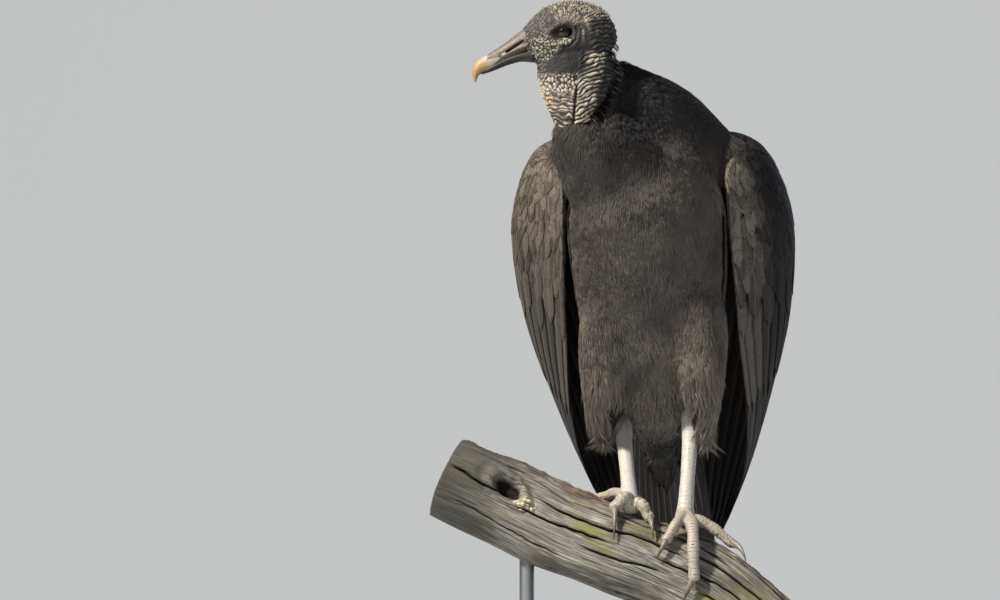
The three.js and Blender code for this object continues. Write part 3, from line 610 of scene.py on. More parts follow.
# Level sections through the bare neck: z, front, back, half width.
BARE_NECK = [
    (6, 2, -24, 9), (-8, 10, -35.5, 14), (-20, 18.5, -41.5, 15.5), (-31, 21.5, -40.5, 15.5),
    (-42, 18.8, -36, 14.5), (-52, 15.4, -31, 14), (-64, 9.5, -26, 14), (-73, 3, -24, 11),
]
UPPER_BILL = [
    (25, 0, -2, 8.5, 10.4), (38, 0, -9.4, 7.2, 7.9), (48, 0, -15.4, 6, 6.9), (58, 0, -21.1, 5.2, 6.2),
    (65, 0, -25.2, 4.6, 5.4), (69, 0, -30, 3.2, 3.3), (69.6, 0, -35, 1.5, 1.5), (69.4, 0, -37.4, 0.5, 0.5),
]
LOWER_BILL = [
    (24, 0, -17.5, 7.6, 5), (34, 0, -18.5, 6.6, 3.4), (45, 0, -22, 5.2, 2.9), (56, 0, -27.2, 4.2, 2.2),
    (64.5, 0, -31.2, 2.4, 1.2),
]
EYE_RADIUS, EYE_OUT = 6.6, 9.8
NOSTRIL_FROM, NOSTRIL_TO, NOSTRIL_RADIUS = (46, -15), (31, -5), 1.7

PERCH_FROM, PERCH_TO = -168.0, 112.0
PERCH_RADIUS = 36.0
PERCH_HEIGHTS = [31, 4, -22, -44, -73, -129]


def perch_frame(x):
    """The middle of the branch at x, and the way out of its top."""
    s = (x - PERCH_FROM) / (PERCH_TO - PERCH_FROM)
    before, after = np.clip(s - 0.01, 0, 1), np.clip(s + 0.01, 0, 1)
    rise = through(PERCH_HEIGHTS, after) - through(PERCH_HEIGHTS, before)
    run = (after - before) * (PERCH_TO - PERCH_FROM)
    centre = np.stack([x, np.zeros_like(x), through(PERCH_HEIGHTS, s)], -1)
    return centre, unit(np.stack([-rise, np.zeros_like(x), run], -1))


def perch_radius(x, angle):
    flutes = np.sin(3 * angle + 0.012 * x) + 0.8 * np.sin(5 * angle - 0.02 * x + 1)
    lumps = 1.2 * np.sin(0.045 * x + 2 * angle) + 0.7 * np.sin(0.09 * x - angle)
    return PERCH_RADIUS + flutes + lumps


def on_perch(x, angle, clear):
    """Points held clear of the branch, at angles from its top towards the bird's front."""
    x, angle, clear = np.broadcast_arrays(*(np.asarray(a, float) for a in (x, angle, clear)))
    centre, up = perch_frame(x)
    out = (perch_radius(x, angle) + clear)[..., None]
    sideways = np.stack([0 * x, -np.sin(angle), 0 * x], -1)
    return centre + out * (up * np.cos(angle)[..., None] + sideways)


# ---------------------------------------------------------------- legs

GAP = 0.3
# Where the heel is, the foot's joint on the branch (x, angle, lift), and each toe: the x and angle of its
# tip, its radius at the root and at the tip, its arch, and the x and angle of its claw's tip.
LEGS = {
    "right": ((-31, 38, 75), (-33, 0.42, 6.5), {
        "middle": (-43, 0.66, 5.2, 4.6, 8, -34, 1.36),
        "inner": (-17, 0.56, 5, 4.2, 6, -8, 1.04),
        "outer": (-62, -0.52, 4.8, 3.8, 3, -70, -0.86),
        "hind": (-27, -0.82, 4.6, 3.8, 4, -22, -1.25),
    }),
    "left": ((27, 20, 77), (4, 0.06, 8.5), {
        "middle": (30, 1.46, 5.4, 4.4, 4, 30, 1.98),
        "inner": (1, 0.98, 4.8, 3.8, 3, 0, 1.38),
        "outer": (39, 0.04, 5, 3.9, 2, 51, 0.4),
        "hind": (14, -0.85, 4.6, 3.8, 4, 20, -1.3),
    }),
}


def toe_line(joint, toe, steps=48):
    """Points along the middle of a toe, from the foot's joint to its last knuckle."""
    s = np.linspace(0, 1, steps + 1)
    x = joint[0] + (toe[0] - joint[0]) * s
    angle = joint[1] + (toe[1] - joint[1]) * s
    clear = joint[2] + (toe[3] + GAP - joint[2]) * s + toe[4] * np.sin(math.pi * s) ** 2
    return on_perch(x, angle, clear), s


def claw_line(toe, root, steps=28):
    """Points along the middle of a claw, which leaves the toe's tip and hooks down to the bark."""
    tip = on_perch(toe[5], toe[6], 1.5)
    middle = on_perch((toe[0] + toe[5]) / 2, (toe[1] + toe[6]) / 2, 8.0)
    t = np.linspace(0, 1, steps + 1)[:, None]
    return root * (1 - t) ** 2 + middle * 2 * t * (1 - t) + tip * t**2, t[:, 0]


def along_line(line, radius, around=24):
    """A tube along a line of points, with a radius, or one for each way round, at every point. Its first
    angle faces away from the branch."""
    tangent = unit(np.gradient(line, axis=0))
    away = np.column_stack([0 * line[:, 0], line[:, 1] / 60, np.ones(len(line))])
    up = unit(away - tangent * np.sum(away * tangent, axis=1, keepdims=True))
    side = np.cross(tangent, up)
    turn = np.linspace(0, TAU, around, endpoint=False)
    radius = np.asarray(radius)
    radius = np.broadcast_to(radius if radius.ndim == 2 else radius[:, None], (len(line), around))
    ring = up[:, None] * np.cos(turn)[:, None] + side[:, None] * np.sin(turn)[:, None]
    return tube(line[:, None] + ring * radius[..., None])


def leg_parts(name):
    heel, joint, toes = LEGS[name]
    ankle = on_perch(*joint)
    heel = np.array(heel, float)
    down = ankle - heel
    shank = [
        (*(heel + down * s), wide, deep)
        for s, wide, deep in (
            (-0.16, 5, 5), (-0.04, 8.2, 8.4), (0.1, 7.9, 7.8), (0.28, 6.5, 6.5), (0.62, 6, 6.2),
            (0.86, 6.6, 6.7), (1, 7.6, 7.2),
        )
    ]
    parts = [loft(shank, around=28, along=60)]
    drop = np.linspace(-8.2, 8.2, 15)
    ball = ankle + np.stack([0 * drop, 0 * drop, drop], -1)
    parts.append(along_line_upright(ball, np.sqrt(np.maximum(8.2**2 - drop**2, 0.01))))
    for toe in toes.values():
        line, s = toe_line(joint, toe)
        knuckles = 1 + 0.07 * np.cos(6 * math.pi * s)
        parts.append(along_line(line, (toe[2] + (toe[3] - toe[2]) * s) * knuckles))
        tip = line[-1] + unit(line[-1] - line[-3]) * np.linspace(0, toe[3] * 0.9, 6)[:, None]
        parts.append(along_line(tip, toe[3] * 1.05 * np.sqrt(1 - np.linspace(0, 0.985, 6) ** 2)))
    return parts


def along_line_upright(line, radius, around=24):
    turn = np.linspace(0, TAU, around, endpoint=False)
    ring = np.stack([np.cos(turn), np.sin(turn), 0 * turn], -1)
    return tube(line[:, None] + ring * radius[:, None, None])


# ---------------------------------------------------------------- the skin of head, body and legs

BRISTLE_DEPTH = 0.9


def in_box(points):
    """Keeps the highest wrinkles and bristles inside the part's own box."""
    low, high = (np.array(corner) / MM - FEET for corner in CAD_BOX)
    return np.clip(points, low + 0.1, high - 0.1)


def path_gap(x, z, path):
    """How far each (x, z) lies from a path of short straight runs."""
    best = np.full(x.shape, 1e9)
    for (ax, az), (bx, bz) in zip(path[:-1], path[1:]):
        dx, dz = bx - ax, bz - az
        t = np.clip(((x - ax) * dx + (z - az) * dz) / (dx * dx + dz * dz), 0, 1)
        best = np.minimum(best, np.hypot(x - ax - t * dx, z - az - t * dz))
    return best


def folds(t):
    """Broad rounded folds with narrow creases between them, one for each unit of t."""
    return np.sqrt(np.abs(np.sin(math.pi * t)))


def head_relief(p, n):
    """How far the bald head's skin stands out at points in the head's frame, with three marks: how pale it
    is, partly painted highlight on raised skin; how warm; and how deep in a hollow or crease it is, painted
    as shade."""
    x, z = p[:, 0], p[:, 2]
    side = ramp(np.abs(n[:, 1]), 0.25, 0.75)
    r, around = np.hypot(x + 4, z), np.arctan2(z, x + 4)
    wander = mottle(p, 9.0, 1) + mottle(p, 4.0, 2) * 0.5

    # The eye's opening is almond shaped, under a smooth brow and over puckered lower lids.
    almond = np.hypot((x + 1.2) / 5.0, (z + 0.4 + 0.05 * x) / 3.9)
    opening = side * (1 - ramp(almond, 0.93, 1.06))
    hollow = side * (1 - ramp(np.hypot((x + 0.5) / 12.5, (z + 0.2) / 9.4), 0.42, 1.0))
    brow_gap = path_gap(x, z, [(14, -2.5), (10, 2.0), (4, 6.2), (-2, 7.2)])
    brow = np.exp(-((brow_gap / 1.9) ** 2)) * side
    lid = np.exp(-(((almond - 1.16) / 0.12) ** 2)) * side
    pouch = side * (1 - ramp(np.hypot((x + 0.5) / 6.5, (z + 8.0) / 3.4), 0.6, 1.1))
    puckers = cobbles(np.stack([x / 2.3 + 0.3 * wander, z / 4.2, 0 * x], 1), 5.0) * pouch
    crease = path_gap(x, z, [(-9.6, 3.5), (-10.4, -1), (-9.4, -6.8), (-5, -11.2), (0, -12.6)])
    crescent = np.exp(-((crease / 0.9) ** 2)) * side
    rim = np.exp(-(((crease - 1.9) / 1.0) ** 2)) * side * ramp(x, -7.0, -9.0)

    # Short ridges radiate over the crown, and coarser beads cover the forehead and run under the eye.
    crown = ramp(z - 0.32 * np.abs(x + 6), 1.0, 8.0) * (1 - side * np.exp(-((brow_gap / 3.0) ** 2)))
    ridge_places = np.stack([r / 8.0, around * 17.0, p[:, 1] / 5.0], 1) + wander[:, None] * 0.25
    ridges = cobbles(ridge_places, 3.0, 0.5)
    forehead = ramp(x, 7.0, 15.0)
    under_eye = path_gap(x, z, [(22, -9), (14, -8), (6, -12.5), (13, -17.5), (20, -18)])
    bead_line = side * (1 - ramp(under_eye, 2.5, 6.0))
    beady = np.clip(forehead + bead_line, 0, 1) * (1 - hollow)
    warty = cobbles(p / 2.3 + wander[:, None] * 0.3, 4.0)
    fine = cobbles(p / 1.3, 8.0)
    cheek = side * np.minimum(1, 1.7 * hill(x, -2.0, 23.0)) * ramp(z, -10.0, -15.0)
    cheek = cheek * ramp(z, -35.0, -29.0) * (1 - bead_line)

    # The neck's skin lies in broken folds across it, knobbly at the throat and coarse down the back column.
    back = ramp(x + 0.08 * z, -12.5, -16.0)
    column = ramp(z, -13.0, -19.0) * back * side * ramp(x + 0.16 * z, -37.0, -31.5)
    nape = ramp(x - 0.1 * z, -17.0, -23.0) * ramp(z, 20.0, 9.0) * (1 - 0.8 * column)
    bend = z + 0.42 * (x + 22) + 0.016 * (x + 22) ** 2 + 1.6 * wander
    blocks = cobbles(np.stack([x / 8.0, p[:, 1] / 9.0, bend / 3.6], 1) + wander[:, None] * 0.2, 6.0, 0.45)
    crests = np.abs(np.sin(math.pi * (bend + 1.2 * mottle(p, 9.0, 11) + 0.5 * mottle(p, 3.2, 13)) / 3.5))
    across = crests * (0.36 + 0.64 * blocks)
    throat = ramp(z, -29.0, -38.0) * (1 - back)
    sunk = ramp(z, -40.0, -56.0)
    slack = z - 0.22 * (x - 6) + 1.8 * wander
    knobs = cobbles(p / np.array([3.0, 3.0, 3.3]) + wander[:, None] * 0.25, 7.0)
    drape = cobbles(np.stack([x / 9.0, p[:, 1] / 10.0, slack / 3.3], 1) + wander[:, None] * 0.2, 9.0, 0.4)
    drape = (0.35 + 0.65 * drape) * np.abs(np.sin(math.pi * (slack + 1.8 * mottle(p, 8.0, 12)) / 3.2))
    loose = knobs * (1 - sunk) + drape * sunk
    gap = side * np.exp(-(((x + 8.6 + 0.1 * (z + 58)) / 1.1) ** 2)) * ramp(z, -36.0, -50.0)
    upright = side * (
        np.exp(-(((x + 15.6) / 1.5) ** 2)) * hill(z, -3.0, 8.0)
        + np.exp(-(((x + 21.0 - 0.35 * z) / 1.5) ** 2)) * hill(z, 5.5, 8.0)
    )

    plain = (1 - crown) * (1 - beady) * (1 - nape) * (1 - column) * (1 - throat)
    relief = crown * (1 - beady) * 0.55 * ridges + beady * 0.75 * warty + plain * 0.22 * fine
    relief += 0.8 * puckers + nape * 1.3 * across + column * 1.5 * across + throat * 1.5 * loose
    across, loose, ridges, warty = (ramp(v, 0.05, 0.75) for v in (across, loose, ridges, warty))
    push = relief * (1 - opening) + 1.3 * brow * (0.6 + 0.4 * ridges)
    push = push - 2.8 * hollow * (1 - 0.6 * pouch) - 6.0 * opening + 0.5 * lid
    push += 0.6 * rim - 0.9 * crescent + 1.0 * upright - 1.5 * gap + 0.4 * mottle(p, 6.0, 9)

    # Pale: the crown's and forehead beads' own paler skin, with painted highlight on the crests of the neck's
    # folds, the puckers, the upright ridges, the brow and the lids. The cheek and the crease gap are painted
    # darker as shade.
    pale = crown * (1 - beady) * (0.1 + 0.62 * ridges) + beady * (0.5 * warty - 0.2) + 0.3 * bead_line * warty
    folded = column * (0.02 + 1.1 * across) + throat * (0.02 + 0.7 * loose)
    pale += folded + 0.5 * upright * (0.3 + 0.7 * ridges) + 0.8 * puckers
    pale += 0.22 * nape * across + plain * 0.10 * fine + 0.3 * brow * (0.3 + ridges) + 0.12 * lid
    pale *= (1 - 0.8 * cheek) * (1 - 0.8 * gap)
    warm = throat * loose * (0.15 + 0.6 * ramp(x + 2.0 * wander, 4.0, 15.0)) * sunk
    warm += 0.25 * column * across * sunk * ramp(mottle(p, 5.0, 10), 0.0, 0.3)
    # Deep is painted shade: nearly black in the eye's socket and opening, down the creases, between the
    # nape's folds and over the cheek, which is also partly its own darker skin.
    socket = hollow * (1 - pouch) * (1 - 0.7 * brow)
    deep = 1.2 * socket + opening + 0.7 * crescent + 0.8 * gap + 1.1 * cheek + 0.4 * nape * (1 - across)
    return push, np.clip(np.stack([pale, warm, deep], 1), 0, 1)


def toe_marks(p):
    """For points on the feet and shanks: how far along its toe or shank each is, how far round from the top,
    and which it is on, 0 for a toe and 1 for a shank."""
    best = np.full(len(p), 1e9)
    run, turned, kind = np.zeros(len(p)), np.zeros(len(p)), np.zeros(len(p))
    for heel, joint, toes in LEGS.values():
        ankle = on_perch(*joint)
        lines = [toe_line(joint, toe)[0] for toe in toes.values()]
        lines.append(np.linspace(np.array(heel, float), ankle, 40))
        for i, line in enumerate(lines):
            tangent = unit(np.gradient(line, axis=0))
            travelled = np.concatenate([[0], np.cumsum(np.linalg.norm(np.diff(line, axis=0), axis=1))])
            gaps = np.linalg.norm(p[:, None] - line, axis=2)
            near = gaps.argmin(1)
            gap = gaps[np.arange(len(p)), near]
            taken = gap < best
            best[taken] = gap[taken]
            off = (p - line[near])[taken]
            along = tangent[near][taken]
            run[taken] = travelled[near][taken] + np.sum(off * along, axis=1)
            out = np.array([0, -1.0, 0]) if i == len(toes) else np.array([0, 0, 1.0])
            top = unit(out - along * (along @ out)[:, None])
            turned[taken] = np.arctan2(np.sum(off * np.cross(along, top), axis=1), np.sum(off * top, axis=1))
            kind[taken] = 1.0 if i == len(toes) else 0.0
    return run, turned, kind


def foot_relief(p):
    """Broad scutes across the toes' tops and down the shank's front, and small round scales elsewhere."""
    run, turned, kind = toe_marks(p)
    front = 1 - ramp(np.abs(turned), 0.85, 1.25)
    across = folds((run + 0.5 * np.cos(turned)) / np.where(kind > 0.5, 3.3, 2.5))
    scales = cobbles(p / 2.2, 12)
    scutes = front * (1 - 0.6 * kind)
    relief = scutes * 0.6 * across + (1 - scutes) * 0.3 * scales
    # The first mark is the scales' height, which the leg material paints as light on their tops and shade in
    # the creases.
    return relief, np.stack([scutes * across + (1 - scutes) * (0.45 + 0.55 * scales), kind, front], 1)


COAT_DEPTH = 3.6


def sunk_thigh(name):
    """The thigh's stations, its top drawn back into the body, as its feathers run on from the belly's."""
    first, (x, *_), *rest = THIGHS[name]
    rest = [(a, b, z + 0.1 * (138 - z), wide, deep) for a, b, z, wide, deep in rest]
    return [(first[0], 6, 200, 22, 46), (first[0], 0, 180, 26, 47), (x, -2, 148, 27, 42), *rest]


# A rounded shoulder fills the top of each folded wing.
SHOULDER_RUN = np.outer(np.linspace(-19.9, 19.9, 13), (0, 0, 1))
SHOULDER_RADII = np.sqrt(20.0**2 - SHOULDER_RUN[:, 2] ** 2)
# Loose skin fills the hollow between the neck's front and its hump.
NECK_FILL = [
    (-44, -72, 325, 8, 8, 8), (-36, -62, 308, 24, 22, 20), (-26, -52, 286, 38, 34, 28),
    (-16, -42, 260, 46, 36, 30),
]
# The feathered collar is drawn up close round the bare neck.
NECK_COLLAR = [(x, y, z, wide + 4 - drawn, front + 4 - drawn) for (x, y, z, wide, front), drawn in zip(
    NECK_FRONT, (5.0, 6.0, 5.0, 4.0, 4.0, 4.0, 4.0)
)]
# The fleshy root of the tail tapers off between the feathers above and below it.
TAIL_CORE = loft(
    [
        (0, 66, 118, 20, 16), (0, 92, 88, 19, 12), (0, 112, 68, 18, 8), (0, 132, 48, 14, 4.5),
        (0, 146, 34, 8, 2),
    ],
    around=32, along=24,
)
body_skin_parts = [
    [loft(TRUNK, grow=-COAT_DEPTH)[0] + BODY_MIDDLE, loft(TRUNK, grow=-COAT_DEPTH)[1]],
    loft(NECK_COLLAR, level=True, grow=-4.0),
    loft(NECK_HUMP + [(0, 8, 237, 50, 48, 48.5), (0, 14, 221, 40, 40, 44)], level=True, grow=-4.6),
    loft(NECK_FILL, level=True),
    *(
        along_line_upright(np.array([hand * 60.0 - 5, -12, 284]) + SHOULDER_RUN, SHOULDER_RADII)
        for hand in (-1, 1)
    ),
    loft(sunk_thigh("right"), grow=-5.0),
    loft(sunk_thigh("left"), grow=-5.0),
    [TAIL_CORE[0] + BODY_MIDDLE, TAIL_CORE[1]],
]
body_skin = fused("skin", body_skin_parts, 3.5, 22, body_skin_mat)

skull = [(x, 0, (top + bottom) / 2, half, (top - bottom) / 2) for x, top, bottom, half in SKULL]
neck = [((front + back) / 2, 0, z, half, (front - back) / 2) for z, front, back, half in BARE_NECK]
head_parts = [
    loft(skull, around=72, along=90, side=(0, 1, 0)),
    loft(neck, around=64, along=90, side=(0, 1, 0)),
]
head_skin = fused("head_skin", [(from_head(p), t) for p, t in head_parts], 0.62, 10, head_skin_mat)
head_points, head_normals = points_of(head_skin), normals_of(head_skin)
local_points = to_head(head_points)
local_normals = to_head(head_normals + HEAD_AT)
push, head_marks = head_relief(local_points, local_normals)
move_points(head_skin, in_box(head_points + head_normals * (push - BRISTLE_DEPTH)[:, None]))
mark(head_skin, "marks", head_marks)

leg_skin = fused("leg_skin", leg_parts("right") + leg_parts("left"), 1.0, 4, leg_mat)
leg_points, leg_normals = points_of(leg_skin), normals_of(leg_skin)
push, leg_marks = foot_relief(leg_points)
move_points(leg_skin, leg_points + leg_normals * (push - 0.3)[:, None])
mark(leg_skin, "marks", leg_marks)


# ---------------------------------------------------------------- the wings' shape

# Values at equal steps from the bent wrist down to the wing's tip, on the bird's left, from the middle of the
# body: the front edge, the widest line and the edge on the back, each as x, y and z.
WING_LEAD = [(66, -44, 281), (69, -20, 208), (71, 26, 142), (74, 88, 86), (67, 158, 38), (38, 226, -20)]
WING_OUTER = [
    (94, -14, 303), (116, 22, 240), (112.5, 68, 174), (95, 120, 113), (71.5, 174, 50), (40, 228, -18),
]
WING_TOP = [(40, 4, 322), (30, 48, 284), (20, 88, 224), (14, 124, 155), (16, 166, 80), (22, 217, -10)]
WING_BULGE = [10, 26, 28, 20, 10, 1]
WING_THICK = [28, 24, 12, 8, 4.5, 1.4]
WING_OUTWARD = unit(np.array([0.72, 0.5, 0.48]))
WRIST, WRIST_CROWN = np.array([72.0, -12.0, 284.0]), np.array([67.0, -13.0, 299.0])
CROWN_RUN = 0.07  # the wing's rounded top lies above v = 0


def wing_sheet(u, v):
    """Points of the folded left wing's outside, from its front edge (u = 0) to its back edge (u = 1)."""
    above = np.clip(-v / CROWN_RUN, 0, 1)
    u, v = np.clip(u, 0, 1), np.clip(v, 0, 1)
    lead, outer, top = (through(line, v) for line in (WING_LEAD, WING_OUTER, WING_TOP))
    back = (outer + top) / 2 + WING_OUTWARD * through(WING_BULGE, v)[:, None]
    found = curve(np.stack([lead, outer, back, top]), u)
    crown = np.sqrt(1 - (1 - np.minimum(1, v / 0.1)) ** 2)
    found = found + (WRIST - found) * (0.55 * (1 - crown))[:, None]
    return found + (WRIST_CROWN - found) * (above * (0.9 + 0.1 * above))[:, None]


def wing_slopes(u, v):
    step = 0.006
    down = (wing_sheet(u, v + step) - wing_sheet(u, v - step)) / (2 * step)
    across = (wing_sheet(u + step, v) - wing_sheet(u - step, v)) / (2 * step)
    down *= np.where(v > 1 - step, 2, 1)[:, None]
    across *= np.where((u < step) | (u > 1 - step), 2, 1)[:, None]
    return across, down, unit(np.cross(down, across))


def wing_points(u, v, height):
    """Points that height off the wing's outside. Beyond the front edge (u below 0) they turn under it."""
    around = np.abs(u)
    _, _, out = wing_slopes(around, v)
    half = ramp(around, 0.45, 1.0) * ramp(v, 0.1, 0.3)
    full = through(WING_THICK, np.clip(v, 0, 1)) - 1
    thick = 1 + full * np.sqrt(np.minimum(1, around / 0.16)) * (1 - 0.55 * half)
    under = np.where(u < 0, thick, 0)
    return wing_sheet(around, v) + out * np.where(u < 0, -under - height, height)[:, None]


def on_body(points, hand):
    """From the left wing's own side of the body's middle to either hand."""
    return points * np.array([hand, 1, 1]) + BODY_MIDDLE


# ---------------------------------------------------------------- feathers

random = np.random.default_rng(7)

ACROSS, ALONG = 6, 9
WING_SPAN = 400


def vane_grid():
    """Where the points of a feather's vane lie: across it from -1 to 1, along it from 0 to 1, and on its top
    or underside, with its triangles. The two sides share their rim, so each vane is closed."""
    across, along = np.meshgrid(np.linspace(-1, 1, ACROSS + 1), 1 - np.linspace(1, 0, ALONG + 1) ** 1.6)
    rim = (np.abs(across) == 1) | (along == 0) | (along == 1)
    top = np.arange(across.size).reshape(across.shape)
    under = top.copy()
    inner = ~rim
    under[inner] = across.size + np.arange(inner.sum())
    triangles = []
    for layer, turned in ((top, False), (under, True)):
        a, b, c, d = layer[:-1, :-1], layer[:-1, 1:], layer[1:, 1:], layer[1:, :-1]
        for corners in ((a, b, c), (a, c, d)):
            made = np.stack([k.ravel() for k in corners], 1)
            triangles.append(made[:, ::-1] if turned else made)
    side = np.concatenate([np.zeros(across.size), -np.ones(inner.sum())])
    return (
        np.concatenate([across.ravel(), across[inner]]),
        np.concatenate([along.ravel(), along[inner]]),
        side,
        np.concatenate(triangles),
    )


VANE_ACROSS, VANE_ALONG, VANE_SIDE, VANE_TRIANGLES = vane_grid()
BAKE_PATCH = 0.003


def vane_width(s, tip, base):
    """A vane's width along it, as a share of its full width: `tip` is the share of its length that rounds
    off, and `base` how wide it starts."""
    root = base + (1 - base) * np.sqrt(np.clip(s / 0.3, 0, 1))
    rounded = np.sqrt(1 - 0.94 * (np.clip(s - (1 - tip), 0, None) / tip) ** 2)
    return root * rounded


def vane_marks(chance, tone, s, a, length, half, root, fresh_and_painted_shade=0.0):
    """The UV maps and marks of a set of vanes: decimetres across from the shaft and along it, and the bake's
    patches; chance, tone and how dark it is made, by freshness and by painted shade, then how near the rim,
    how far along and which side."""
    blank = 0 * s * length
    lie = np.stack([a * half / 100 + blank, s * length / 100], -1).reshape(-1, 2)
    patch = np.stack([a / 2 + blank, s - 0.5 + blank], -1).reshape(-1, 2)
    maps = {"OFBake": 0.02 + 0.96 * root + patch * BAKE_PATCH, "Vane": lie}
    feather = np.stack([chance, tone + blank, fresh_and_painted_shade + blank], -1).reshape(-1, 3)
    vane = np.stack([np.abs(a) + blank, s + blank, blank - VANE_SIDE], -1).reshape(-1, 3)
    return maps, {"feather": feather, "vane": vane}


def wing_vanes(rows):
    """Feathers that lie on the left wing. Each row of `rows` gives u and v of its root, its length and half
    width in millimetres, its drift in u along it, its height at the root and tip, its cross tilt, the share
    of its length that rounds off, its tone, and how much darker painted shade makes it."""
    u0, v0, length, half, drift, low, high, tilt, tip, tone, fresh_and_painted_shade = (column[:, None] for column in rows.T)
    count, size = len(rows), len(VANE_ACROSS)
    s, a = VANE_ALONG[None], VANE_ACROSS[None]
    across, down, _ = wing_slopes(np.abs(u0[:, 0]), v0[:, 0])
    per_v = np.maximum(np.linalg.norm(down, axis=1), 60)[:, None]
    per_u = np.maximum(np.linalg.norm(across, axis=1), 40)[:, None]
    wide = vane_width(s, tip, 0.45) * half
    bow = 1 - 0.12 * a**2
    v = v0 + s * bow * length / per_v
    u = u0 + drift * s + a * wide / per_u
    shaft = np.exp(-((a / 0.16) ** 2)) * (1 - 0.6 * s)
    height = low + (high - low) * s**0.8 - tilt * a - 0.2 * a**2 * half / 8 + 0.22 * shaft
    height = height + VANE_SIDE[None] * (0.35 * (1 - a**2) + 0.1)
    places = wing_points(u.ravel(), np.minimum(v, 0.9995).ravel(), height.ravel())
    triangles = (VANE_TRIANGLES[None] + np.arange(count)[:, None, None] * size).reshape(-1, 3)
    chance = random.random((count, 1)) + 0 * s
    root = np.stack([np.clip(u0, 0, 1) + 0 * s, v0 + 0 * s], -1).reshape(-1, 2)
    # The ends of the flight feathers are the least faded.
    fresh_and_painted_shade = np.clip(fresh_and_painted_shade + 0.55 * ramp(v, 0.5, 0.9), 0, 1)
    return places, triangles, *vane_marks(chance, tone, s, a, length, half, root, fresh_and_painted_shade)


def covert_rows():
    """Overlapping rows of small feathers from the wrist down to the roots of the flight feathers."""
    rows = []
    v, index = -0.062, 0
    while v < 0.27:
        grow = float(np.clip(v / 0.27, 0, 1))
        half = 3.3 + 3.6 * grow
        length = 12 + 20 * grow
        girth = 165 if v > 0.04 else 60 + 105 * max(0.0, (v + 0.07) / 0.11)
        count = int(girth / (1.36 * half))
        for i in range(-2, count + 1):
            u = (i + 0.5 * (index % 2)) / count
            if u > 1.01 or u < -0.16:
                continue
            slant = 0.012 * math.sin(3.2 * u)
            rows.append((
                u + random.normal(0, 0.006), v + slant + random.normal(0, 0.004),
                length * random.uniform(0.85, 1.15), half * random.uniform(0.9, 1.12),
                random.normal(0, 0.012), -1.5, -0.9 + random.normal(0, 0.1), random.normal(0.06, 0.14),
                0.5, 0.85 - 0.5 * grow,
            ))
        v += (4.2 + 4.4 * grow) / WING_SPAN
        index += 1
    return rows


def flight_rows():
    """Greater and primary coverts, secondaries and the primaries, whose tips end in the wing's own steps."""
    rows = []
    for start, end, reach in (
        (0, 0.16, 0.868), (0.16, 0.34, 0.965), (0.34, 0.56, 1.0), (0.56, 0.78, 0.985), (0.78, 1.0, 0.955),
    ):
        shares = (0.12, 0.5, 0.88) if end < 0.6 else (0.3, 0.8)
        for k, share in enumerate(shares):
            u = start + (end - start) * share
            v = 0.30 + 0.012 * k
            tip = reach - 0.010 * abs(k - 1)
            half = 10.5 + 4.5 * u
            rows.append((u, v, (tip - v) * WING_SPAN, half, 0.0, -1.35, -0.75, 0.3, 0.07, 0.12))
    for i in range(10):
        u = 0.46 + 0.54 * (i + 0.3) / 10
        v = 0.335 + 0.015 * (i % 2)
        rows.append((u, v, (0.72 + 0.14 * (i / 9) - v) * WING_SPAN, 11.5, 0.0, -1.45, -0.35, 0.3, 0.14, 0.2))
    for i in range(14):
        u = -0.03 + 0.58 * i / 13
        v = 0.285 + 0.010 * (i % 3) + 0.02 * (1 - i / 13)
        rows.append((u, v, 128 - 34 * (i / 13), 7.4, 0.012, -1.4, -0.45, 0.3, 0.16, 0.3))
    for i in range(17):
        u = -0.04 + 1.04 * i / 16
        v = 0.262 + 0.012 * (i % 2)
        rows.append((u, v, 46 + 8 * (i % 2) + 10 * u, 7.4, 0.0, -1.5, -0.45, 0.3, 0.26, 0.4))
    for i in range(11):
        # The underside, seen beside the tail.
        u = -0.08 - 0.085 * i
        tip = np.interp(-u, (0.1, 0.3, 0.5, 0.9), (0.86, 0.95, 0.98, 0.94))
        rows.append((u, 0.26, (tip - 0.26) * WING_SPAN, 10.0, 0.0, 0.5, 0.7, 0.5, 0.07, 0.1))
    return rows


